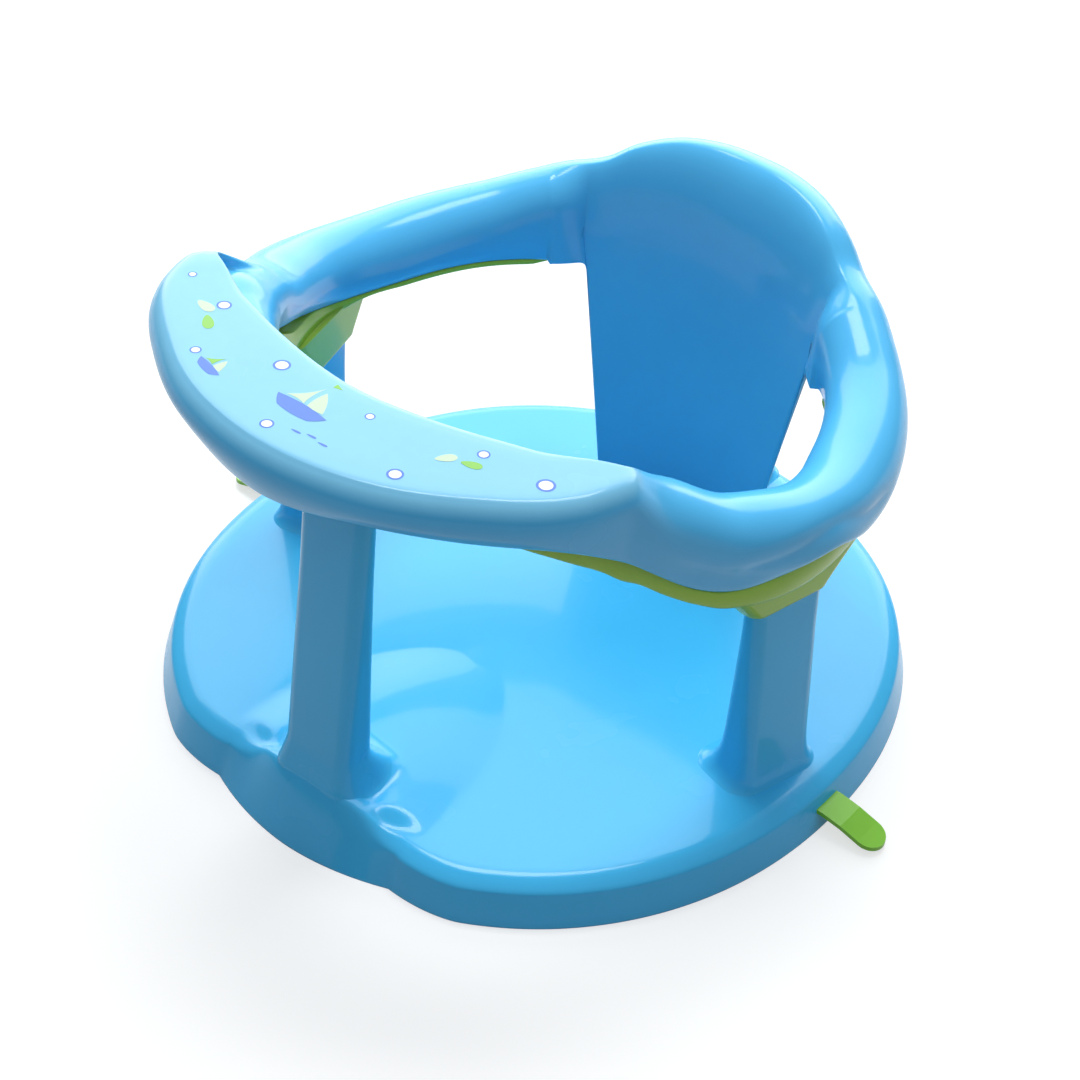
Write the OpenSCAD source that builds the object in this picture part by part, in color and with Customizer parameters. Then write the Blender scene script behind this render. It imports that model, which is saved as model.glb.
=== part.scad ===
// Baby bath seat: a low base with four posts carries a closed ring with a play tray in
// front, two arm rests and a bucket back rest. Suction cups under the base grip the tub.
// The frame is millimetres, +Z up, front towards -Y, with the origin on the tub floor
// below the middle of the seat's outer box.

/* [Base] */
// Length of the base, front to back; the ring and the posts follow it
base_length = 336; // [300:1:360]
// Height of the floor that the child sits on
floor_height = 19; // [17:0.5:22]
// Height of the soft step round the skirt
step_height = 13.5; // [11:0.5:15]
// Wall of the base moulding
base_wall = 2.6; // [2:0.1:3.2]
// Half the width of the lobe in front
lobe_half_width = 47; // [42:1:52]
// Height of the pommel above the floor
pommel_height = 9; // [6:0.5:11]
// Half the width of the pommel at the lip
pommel_half = 50; // [46:1:54]

/* [Posts] */
// Width of the front and back posts
post_width = 34; // [30:1:38]
// Width of the two side posts
side_post_width = 33; // [29:1:37]
// Thickness of a post at the floor
post_foot = 21; // [18:0.5:23]
// Thickness of a post at its top
post_tip = 9; // [8:0.5:11]
// Wall of the hollow posts
post_wall = 2.2; // [1.8:0.1:2.6]
// Outer face of the side posts at the floor, outside the arm rests' centre line
side_post_out = 11.5; // [9:0.5:14]
// Distance of the side posts' middle in front of the ring's middle
side_post_ahead = 17; // [12:1:22]
// Outer face of the front post at the floor, outside the arm rests' centre line
front_post_out = 23; // [20:0.5:25]
// Outer face of the back post at the floor, outside the arm rests' centre line
back_post_out = 31; // [27:0.5:33]

/* [Ring] */
// Height of the tray's top
tray_top = 205; // [195:1:215]
// Distance of the arm rests' centre line inside the base's front and back edge
ring_inset = 42; // [39:1:45]
// Overhang of the tray in front of the base
tray_overhang = 8; // [4:1:14]
// Distance of the tray's inner edge inside the arm rests' centre line
tray_overlap = 4; // [1:0.5:8]
// Height of the arm rests' crest at its lowest
arm_top = 161; // [156:1:166]
// Half the width of an arm rest
arm_half = 17; // [16:0.5:18]
// Height of the crown above the back rest
crown_top = 196.5; // [190:0.5:204]
// Wall of the ring moulding
ring_wall = 2.6; // [2:0.1:3]

/* [Back rest] */
// Width of the back rest where it leaves the arms, as a share of the arm rests' radius
panel_top_share = 0.95; // [0.9:0.01:0.98]
// Width of the back rest at its lower edge, as a share of the arm rests' radius
panel_low_share = 0.68; // [0.6:0.01:0.75]
// Height of the back rest's lower edge
panel_low = 25; // [23:1:40]
// Distance of the back rest's side edges inside the arm rests' centre line
panel_ahead = 30; // [28:0.5:34]
// Depth of the bucket between its edges and its middle
panel_depth = 12.5; // [8:0.5:15]

/* [Lower ring] */
// Wall of the lower ring
liner_wall = 2.2; // [1.8:0.1:2.6]
// Distance of the lower ring's outside from the arm rests' centre line, under the tray
liner_out = 20; // [17:0.5:23]
// Depth of the cups over the post tops
socket_depth = 11; // [8:0.5:13]
// Gap between a post top and its cup
socket_gap = 0.4; // [0.3:0.05:0.6]

/* [Suction cups] */
// Diameter of a suction cup at its rim
cup_diameter = 46; // [40:1:50]
// Diameter of the stem of a suction cup
stem_diameter = 11; // [9:0.5:13]
// Gap round the stem in its boss
stem_gap = 0.2; // [0.15:0.05:0.4]
// Height of the shoulder that the boss rests on
shoulder_height = 9; // [8:0.5:10]
// Distance of the cups' middles from the edge of the base
cup_inset = 60; // [57:1:66]
// Width of a pull tab
tab_width = 15; // [12:0.5:18]
// Thickness of a pull tab
tab_thick = 2; // [1.6:0.1:2.4]
// Length of a pull tab outside the skirt
tab_length = 26; // [20:1:32]
// Gap round a pull tab in its slot
slot_gap = 0.8; // [0.5:0.1:1.2]

/* [Screws] */
// Diameter of the ring screws
screw_diameter = 3.5; // [3:0.1:4]
// Diameter of the screw heads
head_diameter = 7; // [6:0.5:8]
// Length of a ring screw below its head
screw_length = 14; // [12:1:18]
// Diameter of the bosses for the screws
boss_diameter = 9; // [8:0.5:10]

/* [Hidden] */

base_blue = [0.40, 0.74, 0.95];
ring_blue = [0.33, 0.68, 0.95];
lime = [0.48, 0.74, 0.26];
steel = [0.75, 0.76, 0.78];
$fn = 36;

// Sizes that follow the length of the base
base_width = base_length * 0.94;
arm_radius = base_length / 2 - ring_inset;
tray_reach = base_length / 2 + tray_overhang;
tray_inner = arm_radius - tray_overlap;
liner_radius = arm_radius + liner_out;
side_post_face = arm_radius + side_post_out;
front_post_face = arm_radius + front_post_out;
back_post_face = arm_radius + back_post_out;
panel_edge = arm_radius - panel_ahead;
side_cup_place = base_width / 2 - cup_inset;
end_cup_place = base_length / 2 - cup_inset;

// The origin lies below the middle of the outer box, the ring's middle a little behind it.
ring_y = (tray_reach - base_length / 2) / 2;

// Smooth curve through the rows of a table whose first column rises; it gives all the other
// columns at once.
function row_of(table, t, i = 0) =
    (i >= len(table) - 2 || t < table[i + 1][0]) ? i : row_of(table, t, i + 1);
function slope(table, i) =
    let (a = max(i - 1, 0), b = min(i + 1, len(table) - 1))
    (i == 0 || i == len(table) - 1) ? 0 * table[0]
    : (table[b] - table[a]) / (table[b][0] - table[a][0]);
function hermite(p, q, m, n, h, s) =
    (2 * pow(s, 3) - 3 * s * s + 1) * p + (pow(s, 3) - 2 * s * s + s) * h * m
    + (3 * s * s - 2 * pow(s, 3)) * q + (pow(s, 3) - s * s) * h * n;
function smooth_row(table, t) =
    let (i = row_of(table, t), h = table[i + 1][0] - table[i][0])
    hermite(table[i], table[i + 1], slope(table, i), slope(table, i + 1), h, (t - table[i][0]) / h);
function ease(t) = let (c = min(1, max(0, t))) c * c * (3 - 2 * c);
function bump(t) = abs(t) < 1 ? pow(1 - t * t, 2) : 0;
function mix(a, b, t) = a + (b - a) * t;
function folded(angle) = abs(angle > 180 ? angle - 360 : angle);

// Closed skins. The rings of a loft run anticlockwise seen from above, and it ends in two flat
// caps. The sections of a sweep run outwards, up, inwards and down, and the last meets the first.
function band(n, i, j) =
    [for (k = [0 : n - 1]) each [[i * n + k, j * n + (k + 1) % n, i * n + (k + 1) % n],
                                 [i * n + k, j * n + k, j * n + (k + 1) % n]]];
module closed_sweep(sections) {
    n = len(sections[0]);
    m = len(sections);
    polyhedron([for (s = sections) each s], [for (i = [0 : m - 1]) each band(n, (i + 1) % m, i)]);
}
module capped_loft(rings) {
    n = len(rings[0]);
    m = len(rings);
    low = [for (k = [0 : n - 1]) k];
    high = [for (k = [n - 1 : -1 : 0]) (m - 1) * n + k];
    polyhedron([for (r = rings) each r], [low, high, for (i = [0 : m - 2]) each band(n, i, i + 1)]);
}
// One ring of a loft: a rounded rectangle of half sizes a and b with corner radius c
function round_rect(a, b, c, z) =
    [for (q = [0 : 3]) for (k = [0 : 3])
        let (t = q * 90 + k * 30, sx = (q == 0 || q == 3) ? 1 : -1, sy = q < 2 ? 1 : -1)
        [sx * (a - c) + c * cos(t), sy * (b - c) + c * sin(t), z]];

// Base outline: a squared oval whose front is drawn in beside the lobe.
outline_power = 2 / 2.13;
notch_depth = 8;
notch_half = 32;
lobe_inset = 4;
function signed_power(v, p) = sign(v) * pow(abs(v), p);
function outline(angle) =
    let (x = base_width / 2 * signed_power(sin(angle), outline_power),
         y = -base_length / 2 * signed_power(cos(angle), outline_power),
         lobe = min(1, abs(x) / lobe_half_width),
         beside = min(1, max(0, (abs(x) - lobe_half_width) / notch_half)),
         inset = mix(lobe_inset, notch_depth, pow(lobe, 1.6)) * pow(1 - beside, 1.35))
    [x, y < 0 ? y + inset : y];
function inward(p, d) = p * (1 - d / norm(p));

// Heights of the floor: a pommel round the front post falls softly back to the floor, and a
// groove beside the post parts it from the lip in front.
lip_back = 30;
pommel_y = lip_back - base_length / 2;
pommel_reach = 96;
pommel_front = 12;
pommel_climb = 16;
groove_depth = 9;
groove_place = 26;
groove_bow = 4;
groove_ahead = 9;
groove_wide = 22;
groove_narrow = 8;
groove_start = 12;
groove_end = lobe_half_width + 3;
shelf_rise = 7;
shelf_half = 24;
shelf_side = 9;
shelf_back = 56;
shelf_slope = 24;
function from_front(y) = y + base_length / 2;
function pommel(x, y) =
    let (across = x / pommel_half, along = max(y - pommel_y, 0) / pommel_reach)
    pommel_height * pow(max(0, 1 - across * across - along * along), 1.2)
    * ease((from_front(y) - pommel_front) / pommel_climb);
function shelf(x, y) =
    shelf_rise * ease((shelf_half - abs(x)) / shelf_side)
    * ease((shelf_back - from_front(y)) / shelf_slope);
function groove(x, y) =
    let (outwards = ease((abs(x) - groove_start) / (groove_end - groove_start)),
         behind = from_front(y) - groove_place - groove_bow * (1 - outwards),
         reach = behind < 0 ? groove_ahead : mix(groove_wide, groove_narrow, outwards))
    groove_depth * bump(behind / reach) * ease((abs(x) - groove_start) / 8)
    * ease((groove_end - abs(x)) / 24);
function floor_z(p) = floor_height + pommel(p[0], p[1]) + shelf(p[0], p[1]) - groove(p[0], p[1]);

// Skirt: steep with a soft step all round, but on the lobe it leans back as an apron up to a
// lip that climbs towards the front post.
skirt_inset = 3.7;
shoulder_inset = 6.5;
edge_inset = 13;
apron_lean = 15;
lip_rise = 8;
// Each row: inset and height of the plain skirt, then share of the lean and of the lip's height
skirt_table = [
    [0, 0, 0, 0],
    [skirt_inset * 0.6, step_height * 0.6, 0.32, 0.4],
    [skirt_inset, step_height, 0.6, 0.75],
    [shoulder_inset - 1.6, mix(step_height, floor_height, 0.42), 0.78, 0.93],
    [edge_inset - 3.4, floor_height - 0.7, 0.9, 1],
    [edge_inset, floor_height, 1, 1]
];
skirt_last = len(skirt_table) - 1;
function lobe_share(p) = p[1] < 0 ? ease((lobe_half_width + 6 - abs(p[0])) / 26) : 0;
function lip_height(p) = floor_height + lip_rise * ease((40 - abs(p[0])) / 26);
function skirt_point(angle, k) =
    let (o = outline(angle), s = skirt_table[k], share = lobe_share(o),
         p = inward(o, mix(s[0], s[2] * apron_lean, share)))
    [p[0], p[1], mix(s[1], s[3] * lip_height(p), share)];
function floor_point(angle, f) =
    let (e = skirt_point(angle, skirt_last), p = [e[0], e[1]] * f)
    [p[0], p[1], floor_z(p)];
function lowered(ring, d) = [for (p = ring) [p[0], p[1], p[2] - d]];
function drawn_in(ring, d) = [for (p = ring) let (q = inward([p[0], p[1]], d)) [q[0], q[1], p[2]]];

// Share of the wall by which each row of the skirt's inside lies inwards and downwards
wall_inward = [1, 1, 1, 0.6, 0.3, 0];
wall_down = [0, 0.4, 0.4, 1, 1, 1];
floor_steps = [0.96, 0.92, 0.87, 0.81, 0.73, 0.63, 0.48, 0.28];
under_steps = [7, 5, 4, 3, 2, 1, 0];
base_angles = [each [-180 : 10 : -60], each [-52 : 8 : -36], each [-29.75 : 3.5 : 29.75],
               each [36 : 8 : 52], each [60 : 10 : 170]];
module base_shell() {
    skirt = [for (k = [0 : skirt_last]) [for (a = base_angles) skirt_point(a, k)]];
    top = [for (f = floor_steps) [for (a = base_angles) floor_point(a, f)]];
    inner = [for (k = [0 : skirt_last])
        lowered(drawn_in(skirt[k], base_wall * wall_inward[k]), base_wall * wall_down[k])];
    last = len(floor_steps) - 1;
    capped_loft([for (i = under_steps) lowered(top[i], base_wall),
                 for (k = [skirt_last : -1 : 0]) inner[k],
                 for (k = [0 : skirt_last]) skirt[k],
                 for (i = [0 : last]) top[i]]);
}

// Posts: hollow tapered slabs with rounded edges and a soft foot. In their own frame the outer
// face looks along +Y and stands at Y = 0 at the floor.
post_draft = tan(5.2);
back_draft = tan(8.5);
foot_flare = 6;
foot_rise = 24;
post_corner = 6;
post_taper = 0.85;
post_cap = 3;
post_narrowing = 0.05;
function post_share(z, top) = max(0, (z - floor_height) / (top - floor_height));
function post_thickness(z, top) = mix(post_foot, post_tip, pow(post_share(z, top), post_taper));
function post_middle(z, top, lean) = -lean * (z - floor_height) - post_thickness(z, top) / 2;
function post_ring(z, top, half, grow, lean) =
    let (flare = grow < 0 ? 0 : foot_flare * pow(max(0, (floor_height + foot_rise - z) / foot_rise), 3),
         a = half * (1 - post_narrowing * post_share(z, top)) + grow + flare,
         b = post_thickness(z, top) / 2 + grow + flare / 2)
    [for (p = round_rect(a, b, min(post_corner + flare / 2 + min(grow, 0) / 2, b - 0.3), z))
        p + [0, post_middle(z, top, lean), 0]];
post_steps = [0, 0.04, 0.08, 0.13, 0.2, 0.35, 0.6, 1];
hollow_steps = [0, 0.1, 0.3, 0.6, 1];
module post_body(top, half, lean = post_draft) {
    low = floor_height - base_wall / 2;
    capped_loft([for (s = post_steps) post_ring(mix(low, top, s), top, half, 0, lean)]);
}
module post_hollow(top, half, lean = post_draft) {
    low = floor_height - 2 * base_wall;
    capped_loft([for (s = hollow_steps)
        post_ring(mix(low, top - post_cap, s), top, half, -post_wall, lean)]);
}
// Stand the children at the posts' places.
module at_front_post() {
    translate([0, -front_post_face, 0]) rotate([0, 0, 180]) children();
}
module at_back_post() {
    translate([0, back_post_face, 0]) children();
}
module both_sides() {
    children();
    mirror([1, 0, 0]) children();
}
module at_side_posts() {
    both_sides() translate([side_post_face, -side_post_ahead, 0]) rotate([0, 0, -90]) children();
}

// Ring stations. Each row: angle from the front, the tray's outer and inner edge and top, the
// arm's centre radius, centre height and half width, the lower edges of the blue moulding
// outside and inside, the lower ring's bottom and its outer radius. Between the rows it is smooth.
front_strip = 4;
side_strip = 5.5;
function arm_row(angle, r, z, half, low_out, low_in, bottom) =
    [angle, r + half, r, z + half, r, z, half, low_out, low_in, bottom,
     r + half - (angle < 80 ? front_strip : side_strip)];
ring_table = [
    [0, tray_reach, tray_inner, tray_top, tray_inner + 15, tray_top - 24, 16,
        tray_top - 20, tray_top - 22, tray_top - 27, liner_radius],
    [15, tray_reach - 2.5, tray_inner, tray_top, tray_inner + 14.5, tray_top - 24, 16,
        tray_top - 16, tray_top - 22, tray_top - 27, liner_radius],
    [27, tray_reach - 8, tray_inner + 2.5, tray_top, arm_radius + 8.5, tray_top - 25, 16.5,
        tray_top - 17, tray_top - 25, tray_top - 29.5, liner_radius],
    [35, tray_reach - 11.5, tray_inner + 6.5, tray_top, arm_radius + 7, tray_top - 25, 17.5,
        tray_top - 18.5, tray_top - 30, tray_top - 34, liner_radius],
    [40, tray_reach - 15.5, tray_inner + 9.5, tray_top, arm_radius + 6, tray_top - 25.5, 18,
        tray_top - 22.5, tray_top - 33.5, tray_top - 38.5, liner_radius - 1],
    [44, tray_reach - 20.5, tray_inner + 12.5, tray_top, arm_radius + 5, tray_top - 26, 18,
        tray_top - 28.5, tray_top - 37, tray_top - 43.5, liner_radius - 3],
    [47, tray_reach - 24.5, tray_inner + 14.5, tray_top - 0.8, arm_radius + 4, tray_top - 27, 17.5,
        tray_top - 34, tray_top - 40, tray_top - 48.5, arm_radius + 16],
    [50, arm_radius + 22.8, arm_radius + 9, tray_top - 4, arm_radius + 3, tray_top - 29.5, 17.2,
        tray_top - 40, tray_top - 42.5, tray_top - 52, arm_radius + 15],
    [54, arm_radius + 20.5, arm_radius + 6, tray_top - 11, arm_radius + 2.3, tray_top - 32.5, 17,
        arm_top - 4.5, arm_top - 1, arm_top - 14.5, arm_radius + 14.5],
    [59, arm_radius + 18.7, arm_radius + 3, arm_top + 22.5, arm_radius + 1.7, arm_top + 5.5, 17,
        arm_top - 13, arm_top - 6.5, arm_top - 21.5, arm_radius + 14.3],
    arm_row(65, arm_radius + 1.2, arm_top - 3, arm_half, arm_top - 18.5, arm_top - 11, arm_top - 28),
    arm_row(75, arm_radius + 1.8, arm_top - 9.2, arm_half, arm_top - 19, arm_top - 19, arm_top - 31.5),
    arm_row(85, arm_radius + 2.4, arm_top - 14.7, arm_half, arm_top - 18, arm_top - 25.5, arm_top - 32),
    arm_row(95, arm_radius + 0.9, arm_top - 18.1, arm_half + 0.4,
        arm_top - 26, arm_top - 28, arm_top - 31),
    arm_row(105, arm_radius - 0.6, arm_top - 19, arm_half + 1,
        arm_top - 28, arm_top - 28, arm_top - 31.5),
    arm_row(125, arm_radius - 1, arm_top - 13.7, arm_half - 0.5,
        arm_top - 27, arm_top - 28, arm_top - 31.5),
    arm_row(135, arm_radius - 1.9, arm_top - 6.9, arm_half - 1.4,
        arm_top - 24, arm_top - 28, arm_top - 31.5),
    arm_row(142, arm_radius - 2.1, arm_top - 2.4, arm_half - 1.2,
        arm_top - 20, arm_top - 28, arm_top - 31),
    arm_row(150, arm_radius - 2.4, crown_top - 33.2, arm_half - 1.4,
        crown_top - 49.5, arm_top - 28, crown_top - 61),
    arm_row(156, arm_radius - 1.9, crown_top - 24.8, arm_half - 1.4,
        crown_top - 45, arm_top - 28, crown_top - 56),
    arm_row(164, arm_radius - 0.5, crown_top - 19.2, arm_half - 0.5,
        crown_top - 42, arm_top - 28, crown_top - 51),
    arm_row(172, arm_radius + 0.3, crown_top - 17.4, arm_half + 0.3,
        crown_top - 41, arm_top - 28, crown_top - 48),
    arm_row(180, arm_radius + 0.8, crown_top - 17.8, arm_half + 0.8,
        crown_top - 40, arm_top - 28, crown_top - 47)
];
function station(angle) = smooth_row(ring_table, folded(angle));
function bottom_of(angle) = station(angle)[9];

// Section of the blue moulding as radius and height, from its outer lower edge over the top to
// its inner lower edge: the tray's plate over the arm in front, a round arm elsewhere.
tray_edge = 9;
tray_lip = 4.5;
tray_end = 61;
tray_fade = 14;
arc_points = 15;
wall_rows = 6;
wall_lean = 3.5;
function tray_section(v) =
    let (out = v[1], tin = v[2], top = v[3], r = v[4], z = v[5], half = v[6],
         start = acos(min(0.3, max(-0.9, (tin + 0.5 - r) / half))))
    [[out - 1, mix(v[7], top - tray_edge, 0.5)],
     for (a = [0 : 22.5 : 90])
        [out - tray_edge * (1 - cos(a)), top - tray_edge * (1 - sin(a))],
     [(out - tray_edge + tin + tray_lip) / 2, top],
     [tin + tray_lip, top],
     [tin + tray_lip * 0.3, top - tray_lip * 0.3],
     [tin, top - tray_lip],
     for (k = [0 : 4])
        let (a = mix(start, 180, k / 4), under = top - tray_lip - 1.5 - k * 0.5)
        [r + half * cos(a), min(z + half * sin(a), under)]];
function arm_section(v) =
    let (start = asin(min(0.3, max(-0.47, (v[7] + 2.5 - v[5]) / v[6]))))
    [for (k = [0 : arc_points - 1])
        let (a = mix(start, 180, k / (arc_points - 1))) [v[4] + v[6] * cos(a), v[5] + v[6] * sin(a)]];
function ring_section(angle) =
    let (v = station(angle), w = ease((tray_end - folded(angle)) / tray_fade),
         t = tray_section(v), a = arm_section(v),
         upper = [for (k = [0 : arc_points - 1]) mix(a[k], t[k], w)],
         foot = [mix(upper[0][0], v[1] - 4, 0.7), v[7]])
    [foot, each upper,
     for (k = [1 : wall_rows]) let (s = k / wall_rows)
        [v[4] - v[6] + wall_lean * s * s, mix(upper[arc_points - 1][1], v[8], s)]];

// Back rest: its front face stands between two leaning side edges and bulges back in plan.
panel_start = 148;
panel_turn = 28;
panel_wall = 3;
panel_lean = 0.03;
panel_low_width = panel_low_share * arm_radius;
panel_top_width = panel_top_share * arm_radius;
panel_heights = [arm_top - 13,
                 for (k = [0 : 4]) mix(arm_top - panel_turn, panel_low, k / 4)];
function panel_half(z) =
    mix(panel_low_width, panel_top_width, (z - panel_low) / (arm_top - panel_turn - panel_low)) / 2;
function panel_point(angle, k, back) =
    let (z = panel_heights[k], side = angle > 180 ? -1 : 1,
         u = (180 - folded(angle)) / (180 - panel_start),
         deep = panel_depth - panel_lean * (arm_top - panel_turn - z))
    [side * u * panel_half(z), panel_edge + deep * (1 - u * u) + back, z];
function placed(angle, p) = [p[0] * sin(angle), -p[0] * cos(angle), p[1]];
function side_of(points, i) =
    let (a = points[max(i - 1, 0)], b = points[min(i + 1, len(points) - 1)], d = (b - a) / norm(b - a))
    [-d[1], d[0]];
inner_choice = [0, 3, 5, 6, 8, 10, 12, 15, 16, 18, 19, 20, 21];
function ring_loop(angle) =
    let (s = ring_section(angle), first = arc_points + 1, panel = folded(angle) >= panel_start)
    [for (i = [0 : len(s) - 1])
        (panel && i >= first) ? panel_point(angle, i - first, 0) : placed(angle, s[i]),
     for (j = [len(inner_choice) - 1 : -1 : 0]) let (i = inner_choice[j])
        (panel && i >= first) ? panel_point(angle, i - first, panel_wall)
                              : placed(angle, s[i] + ring_wall * side_of(s, i))];
half_angles = [0, each [5 : 5 : 40], each [43, 46, 48.5, 51, 53.5, 56, 59, 63], each [68 : 5 : 138],
               each [142, 145, 147, 147.6, 148, 150, 153, 157, 162, 168, 174]];
function both_ways(half) = [each half, 180, for (i = [len(half) - 1 : -1 : 1]) 360 - half[i]];
ring_angles = both_ways(half_angles);

// Ring screws hold the two ring mouldings together from below.
screw_angles = [20, 105, 168, 192, 255, 340];
screw_gap = 0.4;
pilot_gap = 0.1;
head_gap = 1;
head_height = 2.4;
well_depth = 3;
well_top = 6;
liner_inset = 7;
behind_panel = 5;
function screw_radius(angle) = (liner_inner(angle) + liner_outer(angle)) / 2;
function roof(angle, r) =
    let (v = station(angle))
    folded(angle) < tray_end ? v[3] : v[5] + sqrt(v[6] * v[6] - pow(r - v[4], 2)) - 1;
module at_screws() {
    for (angle = screw_angles)
        translate([screw_radius(angle) * sin(angle), -screw_radius(angle) * cos(angle), bottom_of(angle)])
            children();
}
module upper_ring() {
    color(ring_blue) translate([0, ring_y, 0]) {
        closed_sweep([for (a = ring_angles) ring_loop(a)]);
        for (angle = screw_angles) {
            r = screw_radius(angle);
            top = roof(angle, r) - ring_wall * 0.6;
            low = bottom_of(angle) + well_top;
            pilot = screw_length - well_top + well_depth + 2;
            translate([r * sin(angle), -r * cos(angle), low])
                difference() {
                    cylinder(h = top - low, d = boss_diameter);
                    translate([0, 0, -1]) cylinder(h = pilot, d = screw_diameter + pilot_gap);
                }
        }
    }
}

// Lower ring: an open channel that closes the blue moulding from below, with cups over the posts.
liner_height = 13;
liner_gap = 0.6;
flange_gap = 0.8;
flange_least = 2.2;
function liner_inner(angle) =
    let (v = station(angle)) v[4] - v[6] + liner_inset + behind_panel * ease((folded(angle) - 138) / 10);
function liner_outer(angle) =
    min(station(angle)[10], ring_section(angle)[0][0] - ring_wall - liner_gap);
// Flanges at its foot close the gaps below the blue moulding's edges. The inner one stops behind
// the back rest.
function flange_reach(angle) = (liner_inset - wall_lean) * (1 - ease((folded(angle) - 130) / 8)) + 0.1;
function liner_loop(angle) =
    let (v = station(angle), in = liner_inner(angle), low = v[9], w = liner_wall,
         out = liner_outer(angle),
         up = min(low + liner_height + max(0, 12 - abs(folded(angle) - 10)), v[3] - 8),
         lip = in - flange_reach(angle), lip_top = min(v[8] - flange_gap, low + liner_height - 2),
         rim = v[10], rim_top = max(low + flange_least, min(v[7] - flange_gap, low + liner_height - 1)))
    [for (p = [[rim - 1.5, low], [rim, low + 1.5], [rim, rim_top], [out, rim_top], [out, up],
               [out - w, up],
               [out - w, low + w], [in + w, low + w], [in + w, up], [in, up], [in, lip_top],
               [lip, lip_top], [lip, low + 0.7], [lip + 0.7, low]])
        placed(angle, p)];
liner_angles = both_ways([each [0 : 7.5 : 37.5], each [43, 46, 51, 56, 59, 63], each [70 : 7.5 : 122.5],
                          each [129, 134, 139, 144, 150, 156, 162, 168, 174]]);
// The cups round the post tops widen upwards. The side ones rise towards the back.
cup_flare = 14;
cup_bulge = 2;
side_cup_rise = 5;
function cup_ring(top, half, s, rise, lean) =
    let (z = mix(top - socket_depth, top + liner_wall, s), grow = socket_gap + liner_wall,
         a = half + grow + cup_flare * s * s, b = post_tip / 2 + grow + cup_bulge * s)
    [for (p = round_rect(a, b, b - 0.5, z))
        [p[0], p[1] + post_middle(top, top, lean), p[2] + rise * (1 - s) * ease(-p[0] / a)]];
module cup_outside(top, half, rise = 0, lean = post_draft) {
    capped_loft([for (s = [0, 0.15, 0.4, 0.7, 1]) cup_ring(top, half, s, rise, lean)]);
}
module cup_inside(top, half, lean = post_draft) {
    capped_loft([for (z = [top - socket_depth - 5, top]) post_ring(z, top, half, socket_gap, lean)]);
}
module lower_ring() {
    color(lime) translate([0, ring_y, 0]) difference() {
        union() {
            closed_sweep([for (a = liner_angles) liner_loop(a)]);
            at_front_post() cup_outside(front_top, post_width / 2);
            at_back_post() cup_outside(back_top, post_width / 2, 0, back_draft);
            at_side_posts() cup_outside(side_top, side_post_width / 2, side_cup_rise);
            at_screws() translate([0, 0, -0.3])
                cylinder(h = well_top + 0.3, d = head_diameter + head_gap + 3);
        }
        at_front_post() cup_inside(front_top, post_width / 2);
        at_back_post() cup_inside(back_top, post_width / 2, back_draft);
        at_side_posts() cup_inside(side_top, side_post_width / 2);
        at_screws() {
            translate([0, 0, -1]) cylinder(h = well_depth + 1, d = head_diameter + head_gap);
            cylinder(h = well_top + 1, d = screw_diameter + screw_gap);
        }
    }
}
module ring_screws() {
    color(steel) translate([0, ring_y, 0]) at_screws() {
        translate([0, 0, well_depth - head_height]) cylinder(h = head_height, d = head_diameter);
        translate([0, 0, well_depth - 0.5]) cylinder(h = screw_length + 0.5, d = screw_diameter);
    }
}

// The posts end under the lower ring.
front_top = bottom_of(0);
back_top = bottom_of(180);
side_top = bottom_of(90 - atan(side_post_ahead / arm_radius));

// Suction cups: stem and cup in one, the two side ones with a pull tab through the skirt.
cup_rim = 1.4;
shoulder_diameter = 18;
stem_rise = 6.5;
boss_wall = 2.4;
tab_middle = -3.5;
tab_height = 8.8;
tab_drop = 6;
tab_end = base_width / 2 + tab_length;
module suction_cup() {
    color(lime) rotate_extrude() polygon([
        [0, 4.5], [cup_diameter * 0.2, 3.9], [cup_diameter * 0.36, 2.2], [cup_diameter / 2 - 1, 0],
        [cup_diameter / 2, 0], [cup_diameter / 2, cup_rim], [cup_diameter * 0.38, 4.6],
        [shoulder_diameter / 2 + 1.5, shoulder_height - 2], [shoulder_diameter / 2, shoulder_height],
        [stem_diameter / 2, shoulder_height], [stem_diameter / 2, shoulder_height + stem_rise - 1],
        [stem_diameter / 2 - 1, shoulder_height + stem_rise], [0, shoulder_height + stem_rise]]);
}
// The tab's centre line seen from the side: out of the cup, level through the slot, then drooping
function tab_line(low) =
    let (skirt = base_width / 2 - skirt_inset / 2, z = tab_height - tab_thick / 2 + low)
    [[side_cup_place + cup_diameter * 0.25, z - 2.5], [side_cup_place + cup_diameter / 2, z],
     [skirt + 2, z], [skirt + 11, z - tab_drop * 0.25],
     [tab_end - 8, z - tab_drop * 0.68], [tab_end, z - tab_drop]];
module pull_tab() {
    low = tab_line(0);
    high = tab_line(tab_thick);
    color(lime) intersection() {
        translate([0, tab_middle, 0]) rotate([90, 0, 0])
            linear_extrude(height = tab_width, center = true)
                polygon([each low, for (i = [len(high) - 1 : -1 : 0]) high[i]]);
        translate([0, tab_middle, 0]) linear_extrude(height = 20) {
            translate([tab_end - tab_width / 2, 0]) circle(d = tab_width);
            translate([side_cup_place, -tab_width / 2])
                square([tab_end - tab_width / 2 - side_cup_place, tab_width]);
        }
    }
}
module side_cup() {
    translate([0, ring_y, 0]) {
        translate([side_cup_place, tab_middle, 0]) suction_cup();
        pull_tab();
    }
}
module suction_cup_right() { side_cup(); }
module suction_cup_left() { mirror([1, 0, 0]) side_cup(); }
module suction_cup_front() { translate([0, ring_y - end_cup_place, 0]) suction_cup(); }
module suction_cup_back() { translate([0, ring_y + end_cup_place, 0]) suction_cup(); }

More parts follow.
